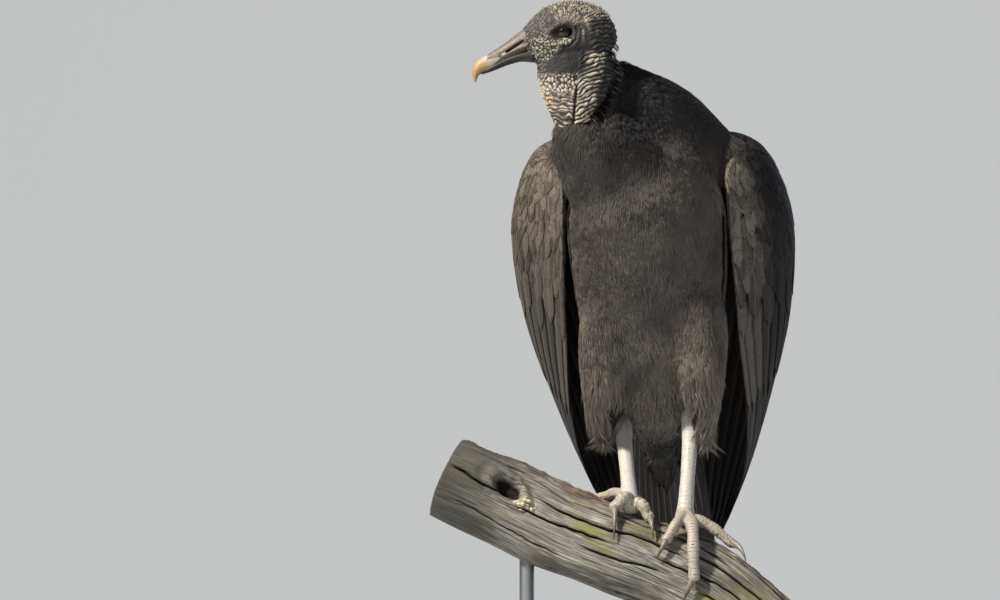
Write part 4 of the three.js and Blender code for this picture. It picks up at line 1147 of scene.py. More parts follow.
def lining_panel(count_u=40, count_v=90, depth=3.4):
    """The dark body of the wing under its feathers, closed, a few millimetres inside them."""
    ends = np.array([0.868, 0.868, 0.965, 1.0, 0.985, 0.955, 0.955])
    t = np.linspace(0, 1, count_u + 1)
    v = np.linspace(-CROWN_RUN, 1, count_v + 1)
    uu, vv = np.meshgrid(t, v)
    reach = np.interp(uu, [0, 0.15, 0.17, 0.45, 0.67, 0.8, 1.0], ends) * 0.975
    vv = np.where(vv > 0, vv * reach, vv)
    edge = ramp(np.minimum(uu, 1 - uu), 0.0, 0.05) * ramp(v[:, None], -CROWN_RUN, 0.03)
    edge *= ramp(1 - v[:, None], 0, 0.02)
    thick = through(WING_THICK, np.clip(vv, 0, 1)) * 0.8
    half = ramp(uu, 0.45, 1.0) * ramp(vv, 0.1, 0.3)
    thick = thick * (1 - 0.55 * half) * np.sqrt(np.minimum(1, uu / 0.16))
    deep = np.clip(0.55 * thick, 2.0, depth)
    top = wing_points(uu.ravel(), vv.ravel(), -(1.4 + (deep - 1.4) * edge).ravel())
    thick = np.maximum(thick, deep + 0.5)
    under = wing_points(uu.ravel(), vv.ravel(), -(1.6 + (thick - 1.6) * edge).ravel())
    grid = np.arange(uu.size).reshape(uu.shape)
    walls = []
    for layer, shift, turned in ((grid, 0, False), (grid, uu.size, True)):
        a, b, c, d = (layer[:-1, :-1], layer[:-1, 1:], layer[1:, 1:], layer[1:, :-1])
        for corners in ((a, b, c), (a, c, d)):
            made = np.stack([k.ravel() for k in corners], 1) + shift
            walls.append(made[:, ::-1] if turned else made)
    rim = np.concatenate([grid[0], grid[1:, -1], grid[-1, -2::-1], grid[-2:0:-1, 0]])
    following = np.roll(rim, -1)
    walls.append(np.stack([rim, rim + uu.size, following], 1))
    walls.append(np.stack([following, rim + uu.size, following + uu.size], 1))
    points = np.concatenate([top, under])
    return points, outward(points, np.concatenate(walls))


# ---------------------------------------------------------------- the coat of small feathers

STRAND_TRIANGLES = np.array([
    [0, 2, 1], [0, 1, 4], [0, 4, 3], [1, 2, 5], [1, 5, 4], [2, 0, 3], [2, 3, 5], [3, 4, 6], [4, 5, 6],
    [5, 3, 6],
])
STRAND_LIE = np.array([[-1, 0], [1, 0], [0, 0], [-1, 0.5], [1, 0.5], [0, 0.5], [0, 1.0]])
CORNERS = len(STRAND_LIE)
STRANDS = 7  # to a feather


def spread_over(made, spacing, keep):
    """Points spread evenly over a mesh at about that spacing in millimetres, with their normals. `keep` gives
    the share of them to keep at any point and normal."""
    points, triangles = points_of(made), triangles_of(made)
    normals = normals_of(made)
    a, b, c = (points[triangles[:, k]] for k in range(3))
    area = np.linalg.norm(np.cross(b - a, c - a), axis=1) / 2
    count = int(area.sum() / spacing**2 * 3.2)
    chosen = np.searchsorted(np.cumsum(area) / area.sum(), random.random(count))
    chosen = np.minimum(chosen, len(area) - 1)
    s, t = np.sqrt(random.random((2, count, 1)))[0], random.random((count, 1))
    weights = (1 - s, s * (1 - t), s * t)
    place = sum(w * corner[chosen] for w, corner in zip(weights, (a, b, c)))
    out = unit(sum(w * normals[triangles[chosen, k]] for k, w in enumerate(weights)))
    cells = np.floor(place / spacing).astype(np.int64) + 512
    key = (cells[:, 0] * 1024 + cells[:, 1]) * 1024 + cells[:, 2]
    _, first = np.unique(key, return_index=True)
    place, out = place[np.sort(first)], out[np.sort(first)]
    kept = random.random(len(place)) < keep(place, out)
    return place[kept], out[kept]


def strands(root, along, out, length, lift, width, droop):
    """Tapered hair-like strands, each a closed prism of ten triangles."""
    side = unit(np.cross(out, along))
    column = lambda values: np.asarray(values)[:, None]
    length, lift, width, droop = (column(v) for v in (length, lift, width, droop))

    def centre(s):
        return root + along * length * s + out * length * (lift * s - droop * s * s)

    rings = []
    for s, share in ((0.0, 1.0), (0.5, 0.85)):
        middle = centre(s) - out * (1.4 if s == 0 else 0)
        half = width * share / 2
        rings += [middle - side * half, middle + side * half, middle + out * half * 0.9]
    rings.append(centre(1.0))
    points = np.stack(rings, 1)
    triangles = STRAND_TRIANGLES[None] + np.arange(len(root))[:, None, None] * CORNERS
    return points.reshape(-1, 3), triangles.reshape(-1, 3)


def body_unwrap(p):
    """The body's own unwrap: round the upright line through its middle, and up it."""
    around = np.arctan2(p[:, 0] + 5, -(p[:, 1] + 5)) / TAU + 0.5
    return np.stack([0.02 + 0.96 * around, 0.02 + 0.96 * np.clip((p[:, 2] - 30) / 340, 0, 1)], 1)


def head_unwrap(p):
    """The head's own unwrap: round the line from nape to bill, and along it."""
    x, y, z = to_head(p).T
    return 0.02 + 0.96 * np.stack([np.arctan2(y, z) / TAU + 0.5, np.clip((x + 45) / 90, 0, 1)], 1)


RUFF = np.array([-44.0, -66.0, 352.0])  # where the feathers of the neck part to run back and down


def coat_lie(p, out):
    """Which way the feathers point at places on the body."""
    away = unit(p - RUFF)
    near = ramp(np.linalg.norm(p - RUFF, axis=1), 150, 40)[:, None]
    down = np.array([0, 0.12, -1.0])
    flow = away * (0.35 + 0.9 * near) + down * (1.05 - 0.55 * near)
    belly = ramp(p[:, 2], 150, 90)[:, None]
    flow = flow + belly * np.array([0, 0.35, 0])
    swirl = np.stack([mottle(p, 26.0, 21), 0 * p[:, 0], 0.4 * mottle(p, 22.0, 22)], 1)
    flow = flow + 0.35 * swirl
    return unit(flow - out * np.sum(flow * out, axis=1, keepdims=True))


def coat_length(p):
    """How long the feathers are: short at the ruff, longest on the flanks, thighs and vent."""
    z = p[:, 2]
    length = 8 + 9.5 * ramp(np.linalg.norm(p - RUFF, axis=1), 18, 95)
    lower = 4.0 * ramp(z, 190, 130) + 4.0 * ramp(z, 125, 80)
    length += lower - 7.0 * ramp(p[:, 1], 40, 62) * ramp(z, 110, 80)
    return length * (1 + 0.22 * mottle(p, 14.0, 23))


def tip_fading_and_shade(p):
    """How much the feathers' tips fade to brown: most at the thighs and flanks, least on neck and back, and
    held down by painted shade on the hump and under the tail's root.
    """
    low = ramp(p[:, 2], 190, 85)
    front = ramp(p[:, 1], 30, -20)
    patches = 0.5 + 0.8 * mottle(p, 16.0, 61) + 0.7 * mottle(p, 42.0, 62)
    tufts = 0.55 * ramp(p[:, 2], 112, 84)
    # Painted shade: the hump and the underside behind the legs, under the tail's root, are kept darker.
    hump = ramp(p[:, 2] - 0.5 * p[:, 1], 285, 340) * ramp(p[:, 0], -50, -15)
    behind = ramp(p[:, 1], 38, 58) * ramp(p[:, 2], 130, 100)
    faded_less_painted_shade = (0.27 + 0.2 * patches) * (0.4 + 0.6 * front) * (1 - hump)
    return (1 - 0.8 * behind) * np.clip(faded_less_painted_shade + 0.62 * low * (0.45 + 0.55 * patches) + tufts, 0, 1)


def feather_tufts(place, out, along, bake, length, width):
    """Small feathers, each of several strands that share a root. On the body they fan out a little, and on
    the shaggy thighs and vent they draw together to a point."""
    side = np.cross(out, along)
    count = len(place)
    bend = 0.28 * mottle(place, 30.0, 24)
    shaggy = ramp(place[:, 2], 150, 95)
    k = np.linspace(-1, 1, STRANDS) + random.normal(0, 0.14, (count, STRANDS))
    each = lambda values: np.repeat(values, STRANDS, axis=0)
    k = k.ravel()
    turn = each(0.2 - 0.36 * shaggy) * k + each(random.normal(0, 0.09 + 0.1 * shaggy, count) + bend)
    heading = each(along) * np.cos(turn)[:, None] + each(side) * np.sin(turn)[:, None]
    root = each(place) + each(side) * (each(0.9 + 1.8 * shaggy) * k)[:, None]
    size = each(length) * (1.04 - 0.16 * k**2) * random.uniform(0.86, 1.08, len(k))
    lift = each(random.uniform(0.2, 0.28, count) + 0.1 * shaggy * random.random(count))
    lift = lift + random.normal(0, 0.025, len(k))
    droop = lift * random.uniform(0.62, 0.92, len(k))
    widths = width * random.uniform(0.8, 1.2, len(k))
    points, triangles = strands(root, heading, each(out), size, lift, widths, droop)
    corners = lambda values: np.repeat(values, CORNERS, axis=0)
    run = np.tile(STRAND_LIE[:, 1], len(k))
    marks = np.stack([corners(each(random.random(count))), run, corners(each(tip_fading_and_shade(place)))], 1)
    patch = np.stack([corners(k) * 0.4, run - 0.5], 1)
    bake = corners(each(bake)) + patch * BAKE_PATCH
    return points, triangles, marks, bake


def feather_pieces(names, points, triangles, marks, bake, limit=195000):
    """Makes as many pieces as keep each under the limit of triangles, cutting between whole strands."""
    each = min(len(triangles), limit) // len(STRAND_TRIANGLES)
    made = []
    for i, start in enumerate(range(0, len(points) // CORNERS, each)):
        corners = slice(start * CORNERS, (start + each) * CORNERS)
        faces = slice(start * len(STRAND_TRIANGLES), (start + each) * len(STRAND_TRIANGLES))
        made.append(piece(
            f"{names}_{i + 1}", points[corners], triangles[faces] - corners.start, plumage_mat,
            {"OFBake": bake[corners]}, {"feather": marks[corners]},
        ))
    return made


def wing_cover():
    u, v = np.meshgrid(np.linspace(0, 1, 28), np.linspace(0.04, 0.95, 60))
    sheet = wing_sheet(u.ravel(), v.ravel())
    return np.concatenate([on_body(sheet, 1), on_body(sheet, -1)])


COVER = wing_cover()


def room_for_feathers(place, out):
    """0 where the wings lie close over the body or the bare neck comes through the collar, else 1."""
    keep = np.ones(len(place))
    around_neck = to_head(place)
    bare = around_neck[:, 2] - 0.1 * np.abs(around_neck[:, 0] + 10) > -67
    keep[bare & (np.hypot(around_neck[:, 0] + 9, around_neck[:, 1]) < 24)] = 0
    for heel, joint, _ in LEGS.values():
        # The feathers part in front of each shank.
        s = np.clip((heel[2] - place[:, 2]) / (heel[2] - on_perch(*joint)[2]), -0.35, 1)[:, None]
        shank = np.array(heel) + (on_perch(*joint) - np.array(heel)) * s
        keep[(place[:, 2] < 94) & (out[:, 1] < -0.15) & (np.abs(place[:, 0] - shank[:, 0]) < 8.5)] = 0
    for start in range(0, len(place), 2000):
        p, n = place[start : start + 2000], out[start : start + 2000]
        gaps = np.linalg.norm(p[:, None] - COVER, axis=2)
        near = COVER[gaps.argmin(1)] - p
        height = np.sum(near * n, axis=1)
        aside = np.linalg.norm(near - n * height[:, None], axis=1)
        keep[start : start + 2000] *= np.where((height > 5) & (aside < 7) & (height < 45), 0, 1)
    return keep


def bristle_share(place, out):
    """Where the head's bristles stand: on the crown and the cheeks, and few elsewhere."""
    x, _, z = to_head(place).T
    crown = ramp(z - 0.3 * np.abs(x + 8), 4, 12) * ramp(x, 22, 12)
    cheek = hill(x, -3, 20) * hill(z, -22, 11)
    clear = np.hypot((x + 0.5) / 12.0, (z + 0.6) / 9.0) > 1
    return clear * (0.05 + 0.75 * crown + 0.4 * cheek) * (z > -40)


place, out = spread_over(body_skin, 2.86, room_for_feathers)
length = coat_length(place)
tufts = feather_tufts(place, out, coat_lie(place, out), body_unwrap(place), length, 0.66)
coat = feather_pieces("coat_feathers", *tufts)


def nape_share(place, out):
    """1 down the middle of the bare neck's back, where the hump's feathers climb it."""
    return ramp(-to_head(out + HEAD_AT)[:, 0], 0.74, 0.9) * ramp(to_head(place)[:, 2], -3, -11)


# The hump's feathers climb the back of the bare neck and stand away from it.
place, out = spread_over(head_skin, 2.3, nape_share)
stand = 0.25 + 0.75 * ramp(to_head(place)[:, 2], -4, -24)
down = unit(out * stand[:, None] + np.array([0.1, 0.05, -1.0]))
length = 7.0 + 4.0 * ramp(to_head(place)[:, 2], -6, -40)
nape_points, *nape = feather_tufts(place, out, down, head_unwrap(place), length, 0.6)
coat += feather_pieces("nape_feathers", in_box(nape_points), *nape)

# Sparse short bristles stand on the bald head, thickest on the crown and cheeks.
place, out = spread_over(head_skin, 1.05, bristle_share)
head_place = to_head(place)
away = from_head(unit(head_place * np.array([1, 1.6, 1]) + np.array([6, 0, 4]))) - HEAD_AT
away = unit(away * 0.5 + np.array([0.5, 0, -0.35]) * ramp(head_place[:, 2], 8, -8)[:, None])
away = away - out * np.sum(away * out, axis=1, keepdims=True)
away = unit(away + random.normal(0, 0.18, (len(place), 3)))
size = random.uniform(1.6, 2.8, len(place))
lift = random.uniform(0.28, 0.55, len(place))
hair_points, hair_triangles = strands(
    place, away, out, size, lift, np.full(len(place), 0.34), 0.2 * size / 3
)
hair_points = in_box(hair_points)
hair_marks = np.stack([
    random.random(len(place)), 0.35 + 0.2 * random.random(len(place)), ramp(head_place[:, 2], 2, -6),
], 1)
hair_patch = np.tile(STRAND_LIE * (0.5, 1) - (0, 0.5), (len(place), 1)) * BAKE_PATCH
bristles = piece(
    "head_bristles", hair_points, hair_triangles, bristle_mat,
    {"OFBake": np.repeat(head_unwrap(place), CORNERS, axis=0) + hair_patch},
    {"feather": np.repeat(hair_marks, CORNERS, axis=0)},
)

wings = []
for hand, name in ((1, "left"), (-1, "right")):
    for kind, rows in (("coverts", covert_rows()), ("flight_feathers", flight_rows())):
        rows = np.array(rows)
        # On the left wing, painted light makes the tone paler along the inner edge and painted shade darkens
        # the outside.
        outer = ramp(rows[:, 0], 0.08, 0.2) if hand == 1 else 0 * rows[:, 0]
        rows[:, 9] *= 2.4 - 2.3 * outer if hand == 1 else 1
        rows = np.column_stack([rows, 0.75 * outer])
        places, triangles, maps, marks = wing_vanes(rows)
        triangles = triangles if hand == 1 else triangles[:, ::-1]
        made = piece(f"wing_{name}_{kind}", on_body(places, hand), triangles, flight_mat, maps, marks)
        wings.append((made, f"wing_{name}", kind))
    lining = lining_panel()
    triangles = lining[1] if hand == 1 else lining[1][:, ::-1]
    panel = piece(f"wing_{name}_lining", on_body(lining[0], hand), triangles, body_skin_mat)
    wings.append((panel, f"wing_{name}", "lining"))


# ---------------------------------------------------------------- bill, eyes and claws

def smooth_loft(name, stations, around, along, material):
    points, triangles = loft(stations, around=around, along=along, side=(0, 1, 0))
    return piece(name, from_head(points), outward(points, triangles), material)


bill = smooth_loft("bill_horn", UPPER_BILL, 96, 170, bill_mat)
local = to_head(points_of(bill))
out = to_head(normals_of(bill) + HEAD_AT)
side = ramp(np.abs(out[:, 1]), 0.3, 0.8)
x, z = local[:, 0], local[:, 2]
spine = np.array(UPPER_BILL)
below = (np.interp(x, spine[:6, 0], spine[:6, 2]) - z) / np.interp(x, spine[:6, 0], spine[:6, 4])
crest = path_gap(x, z, [(47.5, -17.2), (45.0, -15.6), (36, -11.6), (26.4, -8.2), (18, -7.0)])
flange = path_gap(x, z, [(44, -19.2), (37, -16.6), (25.6, -12.4), (18, -10.5)])
bulge = hill(below, 0.42, 0.75)
cap = ramp(x + 0.5 * mottle(local, 3.0, 32), 58.5 - 10.0 * bulge, 61.5 - 10.5 * bulge)
lobe = hill(below, 0.35, 0.7) * ramp(x, 62.0, 54.0)
push = 0.55 * np.exp(-((crest / 1.0) ** 2)) * side + 0.45 * np.exp(-((flange / 0.8) ** 2)) * side
push -= 0.35 * np.exp(-(((crest - 2.2) / 1.0) ** 2)) * side + 0.3 * (1 - cap) + 0.08 * mottle(local, 2.2, 31)
move_points(bill, points_of(bill) + normals_of(bill) * push[:, None])
# The third mark paints a highlight along the bill's side ridge.
mark(bill, "marks", np.stack([cap, lobe, np.clip(np.exp(-((crest / 1.0) ** 2)) * side, 0, 1)], 1))
tan = np.clip(ramp(x + 3.0 * below, 57.0, 67.0) * (1 - 0.8 * lobe), 0, 1)
# Belly paints shade on the bill's underside and, more lightly, on the lower half behind the horny tip.
belly = ramp(below, 0.78, 0.95) * ramp(x, 67.5, 64.0) + 0.3 * ramp(below, 0.3, 0.7) * (1 - cap)
mark(bill, "shade", np.stack([tan, np.clip(belly, 0, 1), 0 * tan], 1))

slit = np.linspace(NOSTRIL_FROM, NOSTRIL_TO, 24)
ends = np.linspace(-1, 1, 24)
slit_radius = 0.75 * NOSTRIL_RADIUS * np.sqrt(1 - 0.97 * np.abs(ends) ** 5)
slit_run = unit(np.array(NOSTRIL_TO, float) - np.array(NOSTRIL_FROM))
slit_rise = np.array([-slit_run[1], slit_run[0]])
rim_top, rim_low = slit + slit_rise * slit_radius[:, None], slit - slit_rise * slit_radius[:, None]
outline = np.concatenate([rim_top, rim_low[::-1]])
for face in (-1, 1):
    # Each nostril stops just short of the thin wall between them.
    depths = (face * 0.5, face * 14.0)
    rings = np.stack([np.stack([outline[:, 0], 0 * outline[:, 0] + y, outline[:, 1]], 1) for y in depths])
    slot_points, slot_triangles = tube(rings)
    cutter = piece("nostril_slot", from_head(slot_points), slot_triangles, bill_mat)
    # The cutter's marks paint the inside of each nostril dark, as shade.
    mark(cutter, "marks", np.zeros((len(slot_points), 3)))
    mark(cutter, "shade", np.tile([0.0, 1.0, 0.0], (len(slot_points), 1)))
    apply(bill, "BOOLEAN", operation="DIFFERENCE", object=cutter, solver="EXACT")
    bpy.data.objects.remove(cutter)

# The lower bill is tucked up against the upper, so that the closed mouth shows only as a line.
closed = [(x, y, z + 0.9, wide, deep) for x, y, z, wide, deep in LOWER_BILL]
lower_bill = smooth_loft("bill_lower_horn", closed, 64, 90, bill_mat)
# The whole lower bill is painted dark as shade.
mark(lower_bill, "marks", np.zeros((len(lower_bill.data.vertices), 3)))
mark(lower_bill, "shade", np.tile([0.0, 1.0, 0.0], (len(lower_bill.data.vertices), 1)))

eyes = []
for hand, name in ((1, "left"), (-1, "right")):
    deselect()
    bpy.ops.mesh.primitive_uv_sphere_add(segments=64, ring_count=40, radius=EYE_RADIUS)
    ball = bpy.context.object
    ball.name = f"eyeball_{name}"
    deselect()
    # The ball's pole is turned to look outwards, and the clear front is domed over the iris.
    p = np.array([v.co for v in ball.data.vertices], float)
    reach = np.hypot(p[:, 0], p[:, 1]) / EYE_RADIUS
    front = p[:, 2] > 0
    p[:, 2] += np.where(front, 0.45 * ramp(reach, 0.62, 0.3), 0)
    gaze = np.stack([p[:, 0], hand * (p[:, 2] + EYE_OUT), p[:, 1]], 1)
    move_points(ball, from_head(gaze))
    mark(ball, "marks", np.stack([reach * front + (1 - front), 0 * reach, 0 * reach], 1))
    ball.data.materials.append(eye_mat)
    for polygon in ball.data.polygons:
        polygon.use_smooth = True
    if hand == 1:
        ball.data.flip_normals()
    eyes.append((ball, f"eye_{name}"))

claws = []
for name, (heel, joint, toes) in LEGS.items():
    for toe_name, toe in toes.items():
        line, s = claw_line(toe, toe_line(joint, toe)[0][-1])
        radius = 3.5 + (0.42 - 3.5) * s**0.85
        turn = np.linspace(0, TAU, 20, endpoint=False)
        shape = 1 + 0.12 * np.cos(turn) ** 2 - 0.14 * np.sin(turn) ** 2
        points, triangles = along_line(line, radius[:, None] * shape, around=20)
        talon = piece(f"talon_{name}_{toe_name}", points, triangles, claw_mat)
        mark(talon, "marks", np.stack([np.concatenate([np.repeat(s, 20), [0, 1]])] * 3, 1))
        claws.append((talon, f"claw_{name}_{toe_name}"))

# ---------------------------------------------------------------- the tail

TAIL_MIDDLE = [(0, 72, 132), (0, 118, 86), (0, 178, 27), (0, 240, -38)]
TAIL_HALF, TAIL_DROOP, TAIL_THICK, TAIL_SPAN = [24, 30, 36, 40], [12, 9, 7, 6], [38, 24, 7, 1.6], 242.0


def tail_points(side, v, height):
    """Points that height above the tail's upper side, from its left edge (1) to its right (-1) and from its
    root (0) to its tip (1)."""
    v = np.clip(v, 0, 1)
    middle = curve(TAIL_MIDDLE, v)
    ahead, behind = (curve(TAIL_MIDDLE, np.clip(v + step, 0, 1)) for step in (0.004, -0.004))
    tangent = unit(ahead - behind)
    above = np.stack([0 * v, -tangent[:, 2], tangent[:, 1]], 1)
    drop = -through(TAIL_DROOP, v) * side**2 + height
    return middle + above * drop[:, None] + np.stack([through(TAIL_HALF, v) * side, 0 * v, 0 * v], 1)


def tail_vanes(rows):
    """Feathers on the tail, as rows of side and v at the root, length, half width, how far the tip spreads
    outwards, height at root and tip, share that rounds off, and tone. Height is measured from the upper
    side, or from the underside where it is negative."""
    side0, v0, length, half, spread, low, high, tip, tone = (column[:, None] for column in rows.T)
    s, a = VANE_ALONG[None], VANE_ACROSS[None]
    v = v0 + s * (1 - 0.1 * a**2) * length / TAIL_SPAN
    wide = vane_width(s, tip, 0.5) * half
    reach = through(TAIL_HALF, np.clip(v, 0, 1))
    side = side0 + spread * s + a * wide / reach
    side = np.clip(side, -1, 1)
    thick = 0.9 + (through(TAIL_THICK, np.clip(v, 0, 1)) - 0.9) * np.sqrt(np.maximum(0, 1 - side**2))
    shaft = np.exp(-((a / 0.16) ** 2)) * 0.35
    height = low + (high - low) * s - 0.45 * a**2 * half / 8 + shaft
    height = height + VANE_SIDE[None] * (0.5 * (1 - a**2) + 0.1)
    height = np.where(low > 0, height - 1.9, -thick - (height - 1.9))
    places = tail_points(side.ravel(), np.minimum(v, 1.0).ravel(), height.ravel())
    triangles = VANE_TRIANGLES[None] + np.arange(len(rows))[:, None, None] * len(VANE_ACROSS)
    triangles = np.where(low[:, :, None] > 0, triangles[:, :, ::-1], triangles).reshape(-1, 3)
    chance = random.random((len(rows), 1)) + 0 * s
    root = np.stack([(side0 + 1) / 2 + 0 * s, v0 + 0 * s], -1).reshape(-1, 2)
    return places, triangles, *vane_marks(chance, tone, s, a, length, half, root)


def tail_rows():
    rows = []
    for face in (1, -1):
        for i in range(12):
            side = -0.88 + 1.76 * i / 11
            end = 1.0 - 0.028 * abs(2 * i / 11 - 1) ** 1.5
            low = 0.5 + 0.06 * abs(i - 5.5) * face
            rows.append((
                side * 0.8, 0.3, (end - 0.3) * TAIL_SPAN, 7.6, side * 0.2, low * face, (low + 0.5) * face,
                0.06, 0.1,
            ))
        for row in range(8):
            for i in range(7):
                side = -0.85 + 1.7 * (i + 0.5 * (row % 2)) / 6.5
                rows.append((
                    side * 0.95, 0.05 + 0.055 * row, random.uniform(38, 46), 6.4, random.normal(0, 0.02),
                    0.6 * face, 1.4 * face, 0.3, 0.5,
                ))
    return rows


places, triangles, maps, marks = tail_vanes(np.array(tail_rows()))
tail_feathers = piece(
    "tail_flight_feathers", in_box(places + BODY_MIDDLE), triangles, flight_mat, maps, marks
)


# ---------------------------------------------------------------- the branch

# Each crack runs along the grain: where it starts and ends, its angle from the top of the branch at both
# ends, its depth and its half width.
CRACKS = [
    (-168, -118, 1.28, 1.42, 4.5, 1.5), (-168, -96, 0.62, 0.78, 3.5, 1.0), (-150, -88, 0.22, 0.42, 3.8, 1.3),
    (-118, -30, 1.62, 1.42, 4.5, 1.3), (-104, 26, 1.22, 1.06, 4.8, 1.5), (-96, -12, 0.86, 0.80, 3.6, 1.0),
    (-62, 12, 1.80, 1.62, 4.2, 1.3), (-58, 60, 0.62, 0.70, 4.6, 1.5), (-30, 112, 0.34, 0.44, 5.0, 1.7),
    (-10, 84, 1.42, 1.26, 4.0, 1.3), (10, 112, 0.90, 0.84, 5.0, 1.6), (30, 112, 1.72, 1.60, 3.8, 1.2),
    (-160, -60, 2.1, 2.2, 3.0, 1.2), (-80, 60, 2.7, 2.55, 3.5, 1.5), (-168, 20, 3.6, 3.7, 3.8, 1.6),
    (-40, 112, -1.9, -1.8, 3.6, 1.5), (-168, -30, -1.2, -1.1, 3.4, 1.4), (-20, 112, -0.9, -1.0, 4.0, 1.5),
    (-120, 10, -0.35, -0.5, 3.6, 1.2), (-168, 112, -2.5, -2.45, 3.0, 1.2),
]
PERCH_AROUND, PERCH_ALONG = 312, 272


def weathered_wood():
    s = np.linspace(0, 1, PERCH_ALONG + 1)
    turn = np.linspace(0, TAU, PERCH_AROUND, endpoint=False) - 2.6
    # There is more to see on the front, so the mesh is finer there.
    angle = turn - 0.3 * np.sin(turn - 1.1) - 0.26
    x, angle = np.meshgrid(PERCH_FROM + (PERCH_TO - PERCH_FROM) * s, angle, indexing="ij")
    x, angle = x.ravel(), angle.ravel()
    arc = angle * PERCH_RADIUS
    ring = np.stack([np.cos(angle), np.sin(angle)], 1) * PERCH_RADIUS
    place = np.column_stack([x, ring])
    warp = mottle(place, 38.0, 41) * 5.0
    lie = np.column_stack([x / 26, ring + warp[:, None] * 0.18])
    grain = mottle(lie, 2.3, 42)
    fine = mottle(np.column_stack([x / 18, ring + warp[:, None] * 0.18]), 1.1, 43)
    broad = mottle(np.column_stack([x / 3, ring]), 12.0, 44)
    furrow = -np.clip(-mottle(np.column_stack([x / 22, ring + warp[:, None] * 0.2]), 3.4, 45) - 0.24, 0, 1)
    push = -1.3 + 0.45 * grain + 0.28 * fine + 1.2 * broad + 2.2 * furrow

    top = ramp(np.abs(np.mod(angle + 0.35 + math.pi, TAU) - math.pi), 1.15, 0.55)
    crumbs = mottle(np.column_stack([x / 2.6, ring]), 2.6, 46)
    crust = np.clip(mottle(np.column_stack([x / 7, ring]), 3.4, 47), -1, 0.2)
    push += top * (1.5 * crumbs - 0.5 + 1.4 * crust)

    crack = np.zeros(len(x))
    for start, end, a0, a1, depth, wide in CRACKS:
        t = (x - start) / (end - start)
        inside = np.clip(np.minimum(t, 1 - t) * 5, 0, 1)
        wobble = mottle(np.column_stack([x, 0 * x + a0 * 50, 0 * x]), 34.0, 48) * 3.2
        wobble += mottle(np.column_stack([x, 0 * x + a0 * 50, 0 * x]), 7.0, 49) * 0.9
        path = a0 + (a1 - a0) * np.clip(t, 0, 1)
        gap = (np.mod(angle - path + math.pi, TAU) - math.pi) * PERCH_RADIUS - wobble
        gap = np.where(gap > 0, gap, gap * 0.75)
        cut = inside * depth * np.exp(-((gap / (0.62 * wide * (0.55 + 0.45 * inside))) ** 2))
        crack = np.maximum(crack, np.where((t > 0) & (t < 1), cut, 0))
    push -= crack

    # The knot hole, with a raised lip and pale crusty splinters beside it.
    from_knot = np.column_stack([x + 121, arc - 1.24 * PERCH_RADIUS])
    lean, tilt = math.cos(0.35), math.sin(0.35)
    long = (from_knot[:, 0] * lean + from_knot[:, 1] * tilt) / 13.0
    short = (from_knot[:, 1] * lean - from_knot[:, 0] * tilt) / 8.5
    knot = np.hypot(long, short) + 0.16 * mottle(place, 5.0, 50)
    hole = 1 - ramp(knot, 0.55, 1.02)
    lip = np.exp(-(((knot - 1.25) / 0.2) ** 2))
    push += -11.0 * hole + 1.5 * lip - 1.2 * np.exp(-(((knot - 1.8) / 0.25) ** 2))
    crust = np.hypot((x + 104.5) / 8.5, (arc - 1.43 * PERCH_RADIUS) / 6.5)
    crust = 1 - ramp(crust, 0.7, 1.1)
    chips = cobbles(place / 3.2 + 0.3 * mottle(place, 2.0, 51)[:, None], 52)
    push += crust * (3.2 * chips - 0.6)
    push = np.clip(push, -15, 0.9)

    points = on_perch(x, angle, push).reshape(PERCH_ALONG + 1, PERCH_AROUND, 3)
    green = ramp(mottle(place * np.array([0.4, 1, 1]), 16.0, 53), 0.02, 0.4)
    green = green * ramp(np.abs(angle - 1.35), 1.1, 0.3)
    # The first mark paints shade down the cracks, furrows and knot hole.
    marks = np.stack([crack / 3.4 + 0.9 * hole - 0.5 * furrow, green, crust * chips], 1)
    marks[:, :2] = np.clip(marks[:, :2], 0, 1)
    rust = top * ramp(np.abs(x + 42), 62.0, 20.0)
    # Painted shade darkens the left end of the branch.
    shaded = 0.8 * ramp(x, -96, -150) * (1 - crust)
    kinds = np.stack([top, rust, shaded], 1)
    lie = np.column_stack([x, ring + warp[:, None] * 0.3]) / 100
    return points, marks, kinds, lie


rings, wood_marks, wood_kinds, wood_lie = weathered_wood()
wood_points, wood_triangles = tube(rings)
perch = piece("branch_wood", wood_points, wood_triangles, wood_mat)
for name, values in (("marks", wood_marks), ("kinds", wood_kinds), ("lie", wood_lie)):
    mark(perch, name, np.concatenate([values, 0 * values[:2]]))

# ---------------------------------------------------------------- the display stand


def edit(made, select_mode):
    deselect()
    made.select_set(True)
    bpy.context.view_layer.objects.active = made
    bpy.ops.object.mode_set(mode="EDIT")
    bpy.context.tool_settings.mesh_select_mode = select_mode


def settle(made):
    """Leaves the object at the origin, unturned and unscaled, with its place in its mesh."""
    deselect()
    made.select_set(True)
    bpy.context.view_layer.objects.active = made
    bpy.ops.object.transform_apply(location=True, rotation=True, scale=True)
    deselect()


BASE_SIZE = (0.280, 0.240, 0.018)
deselect()
bpy.ops.mesh.primitive_cube_add(size=1, location=(0, 0, BASE_SIZE[2] / 2), scale=BASE_SIZE)
stand_base = bpy.context.object
stand_base.name = "stand_base_plate"
settle(stand_base)
for low_edges, width, segments in ((False, 0.026, 16), (True, 0.0015, 4)):
    edit(stand_base, (False, True, False))
    bpy.ops.mesh.select_all(action="DESELECT")
    bpy.ops.object.mode_set(mode="OBJECT")
    for edge in stand_base.data.edges:
        a, b = (stand_base.data.vertices[k].co for k in edge.vertices)
        upright = abs(a.z - b.z) > 0.01
        edge.select = abs(a.z - b.z) < 1e-5 if low_edges else upright
    bpy.ops.object.mode_set(mode="EDIT")
    bpy.ops.mesh.bevel(offset=width, segments=segments, affect="EDGES")
    bpy.ops.object.mode_set(mode="OBJECT")
deselect()
stand_base.select_set(True)
bpy.context.view_layer.objects.active = stand_base
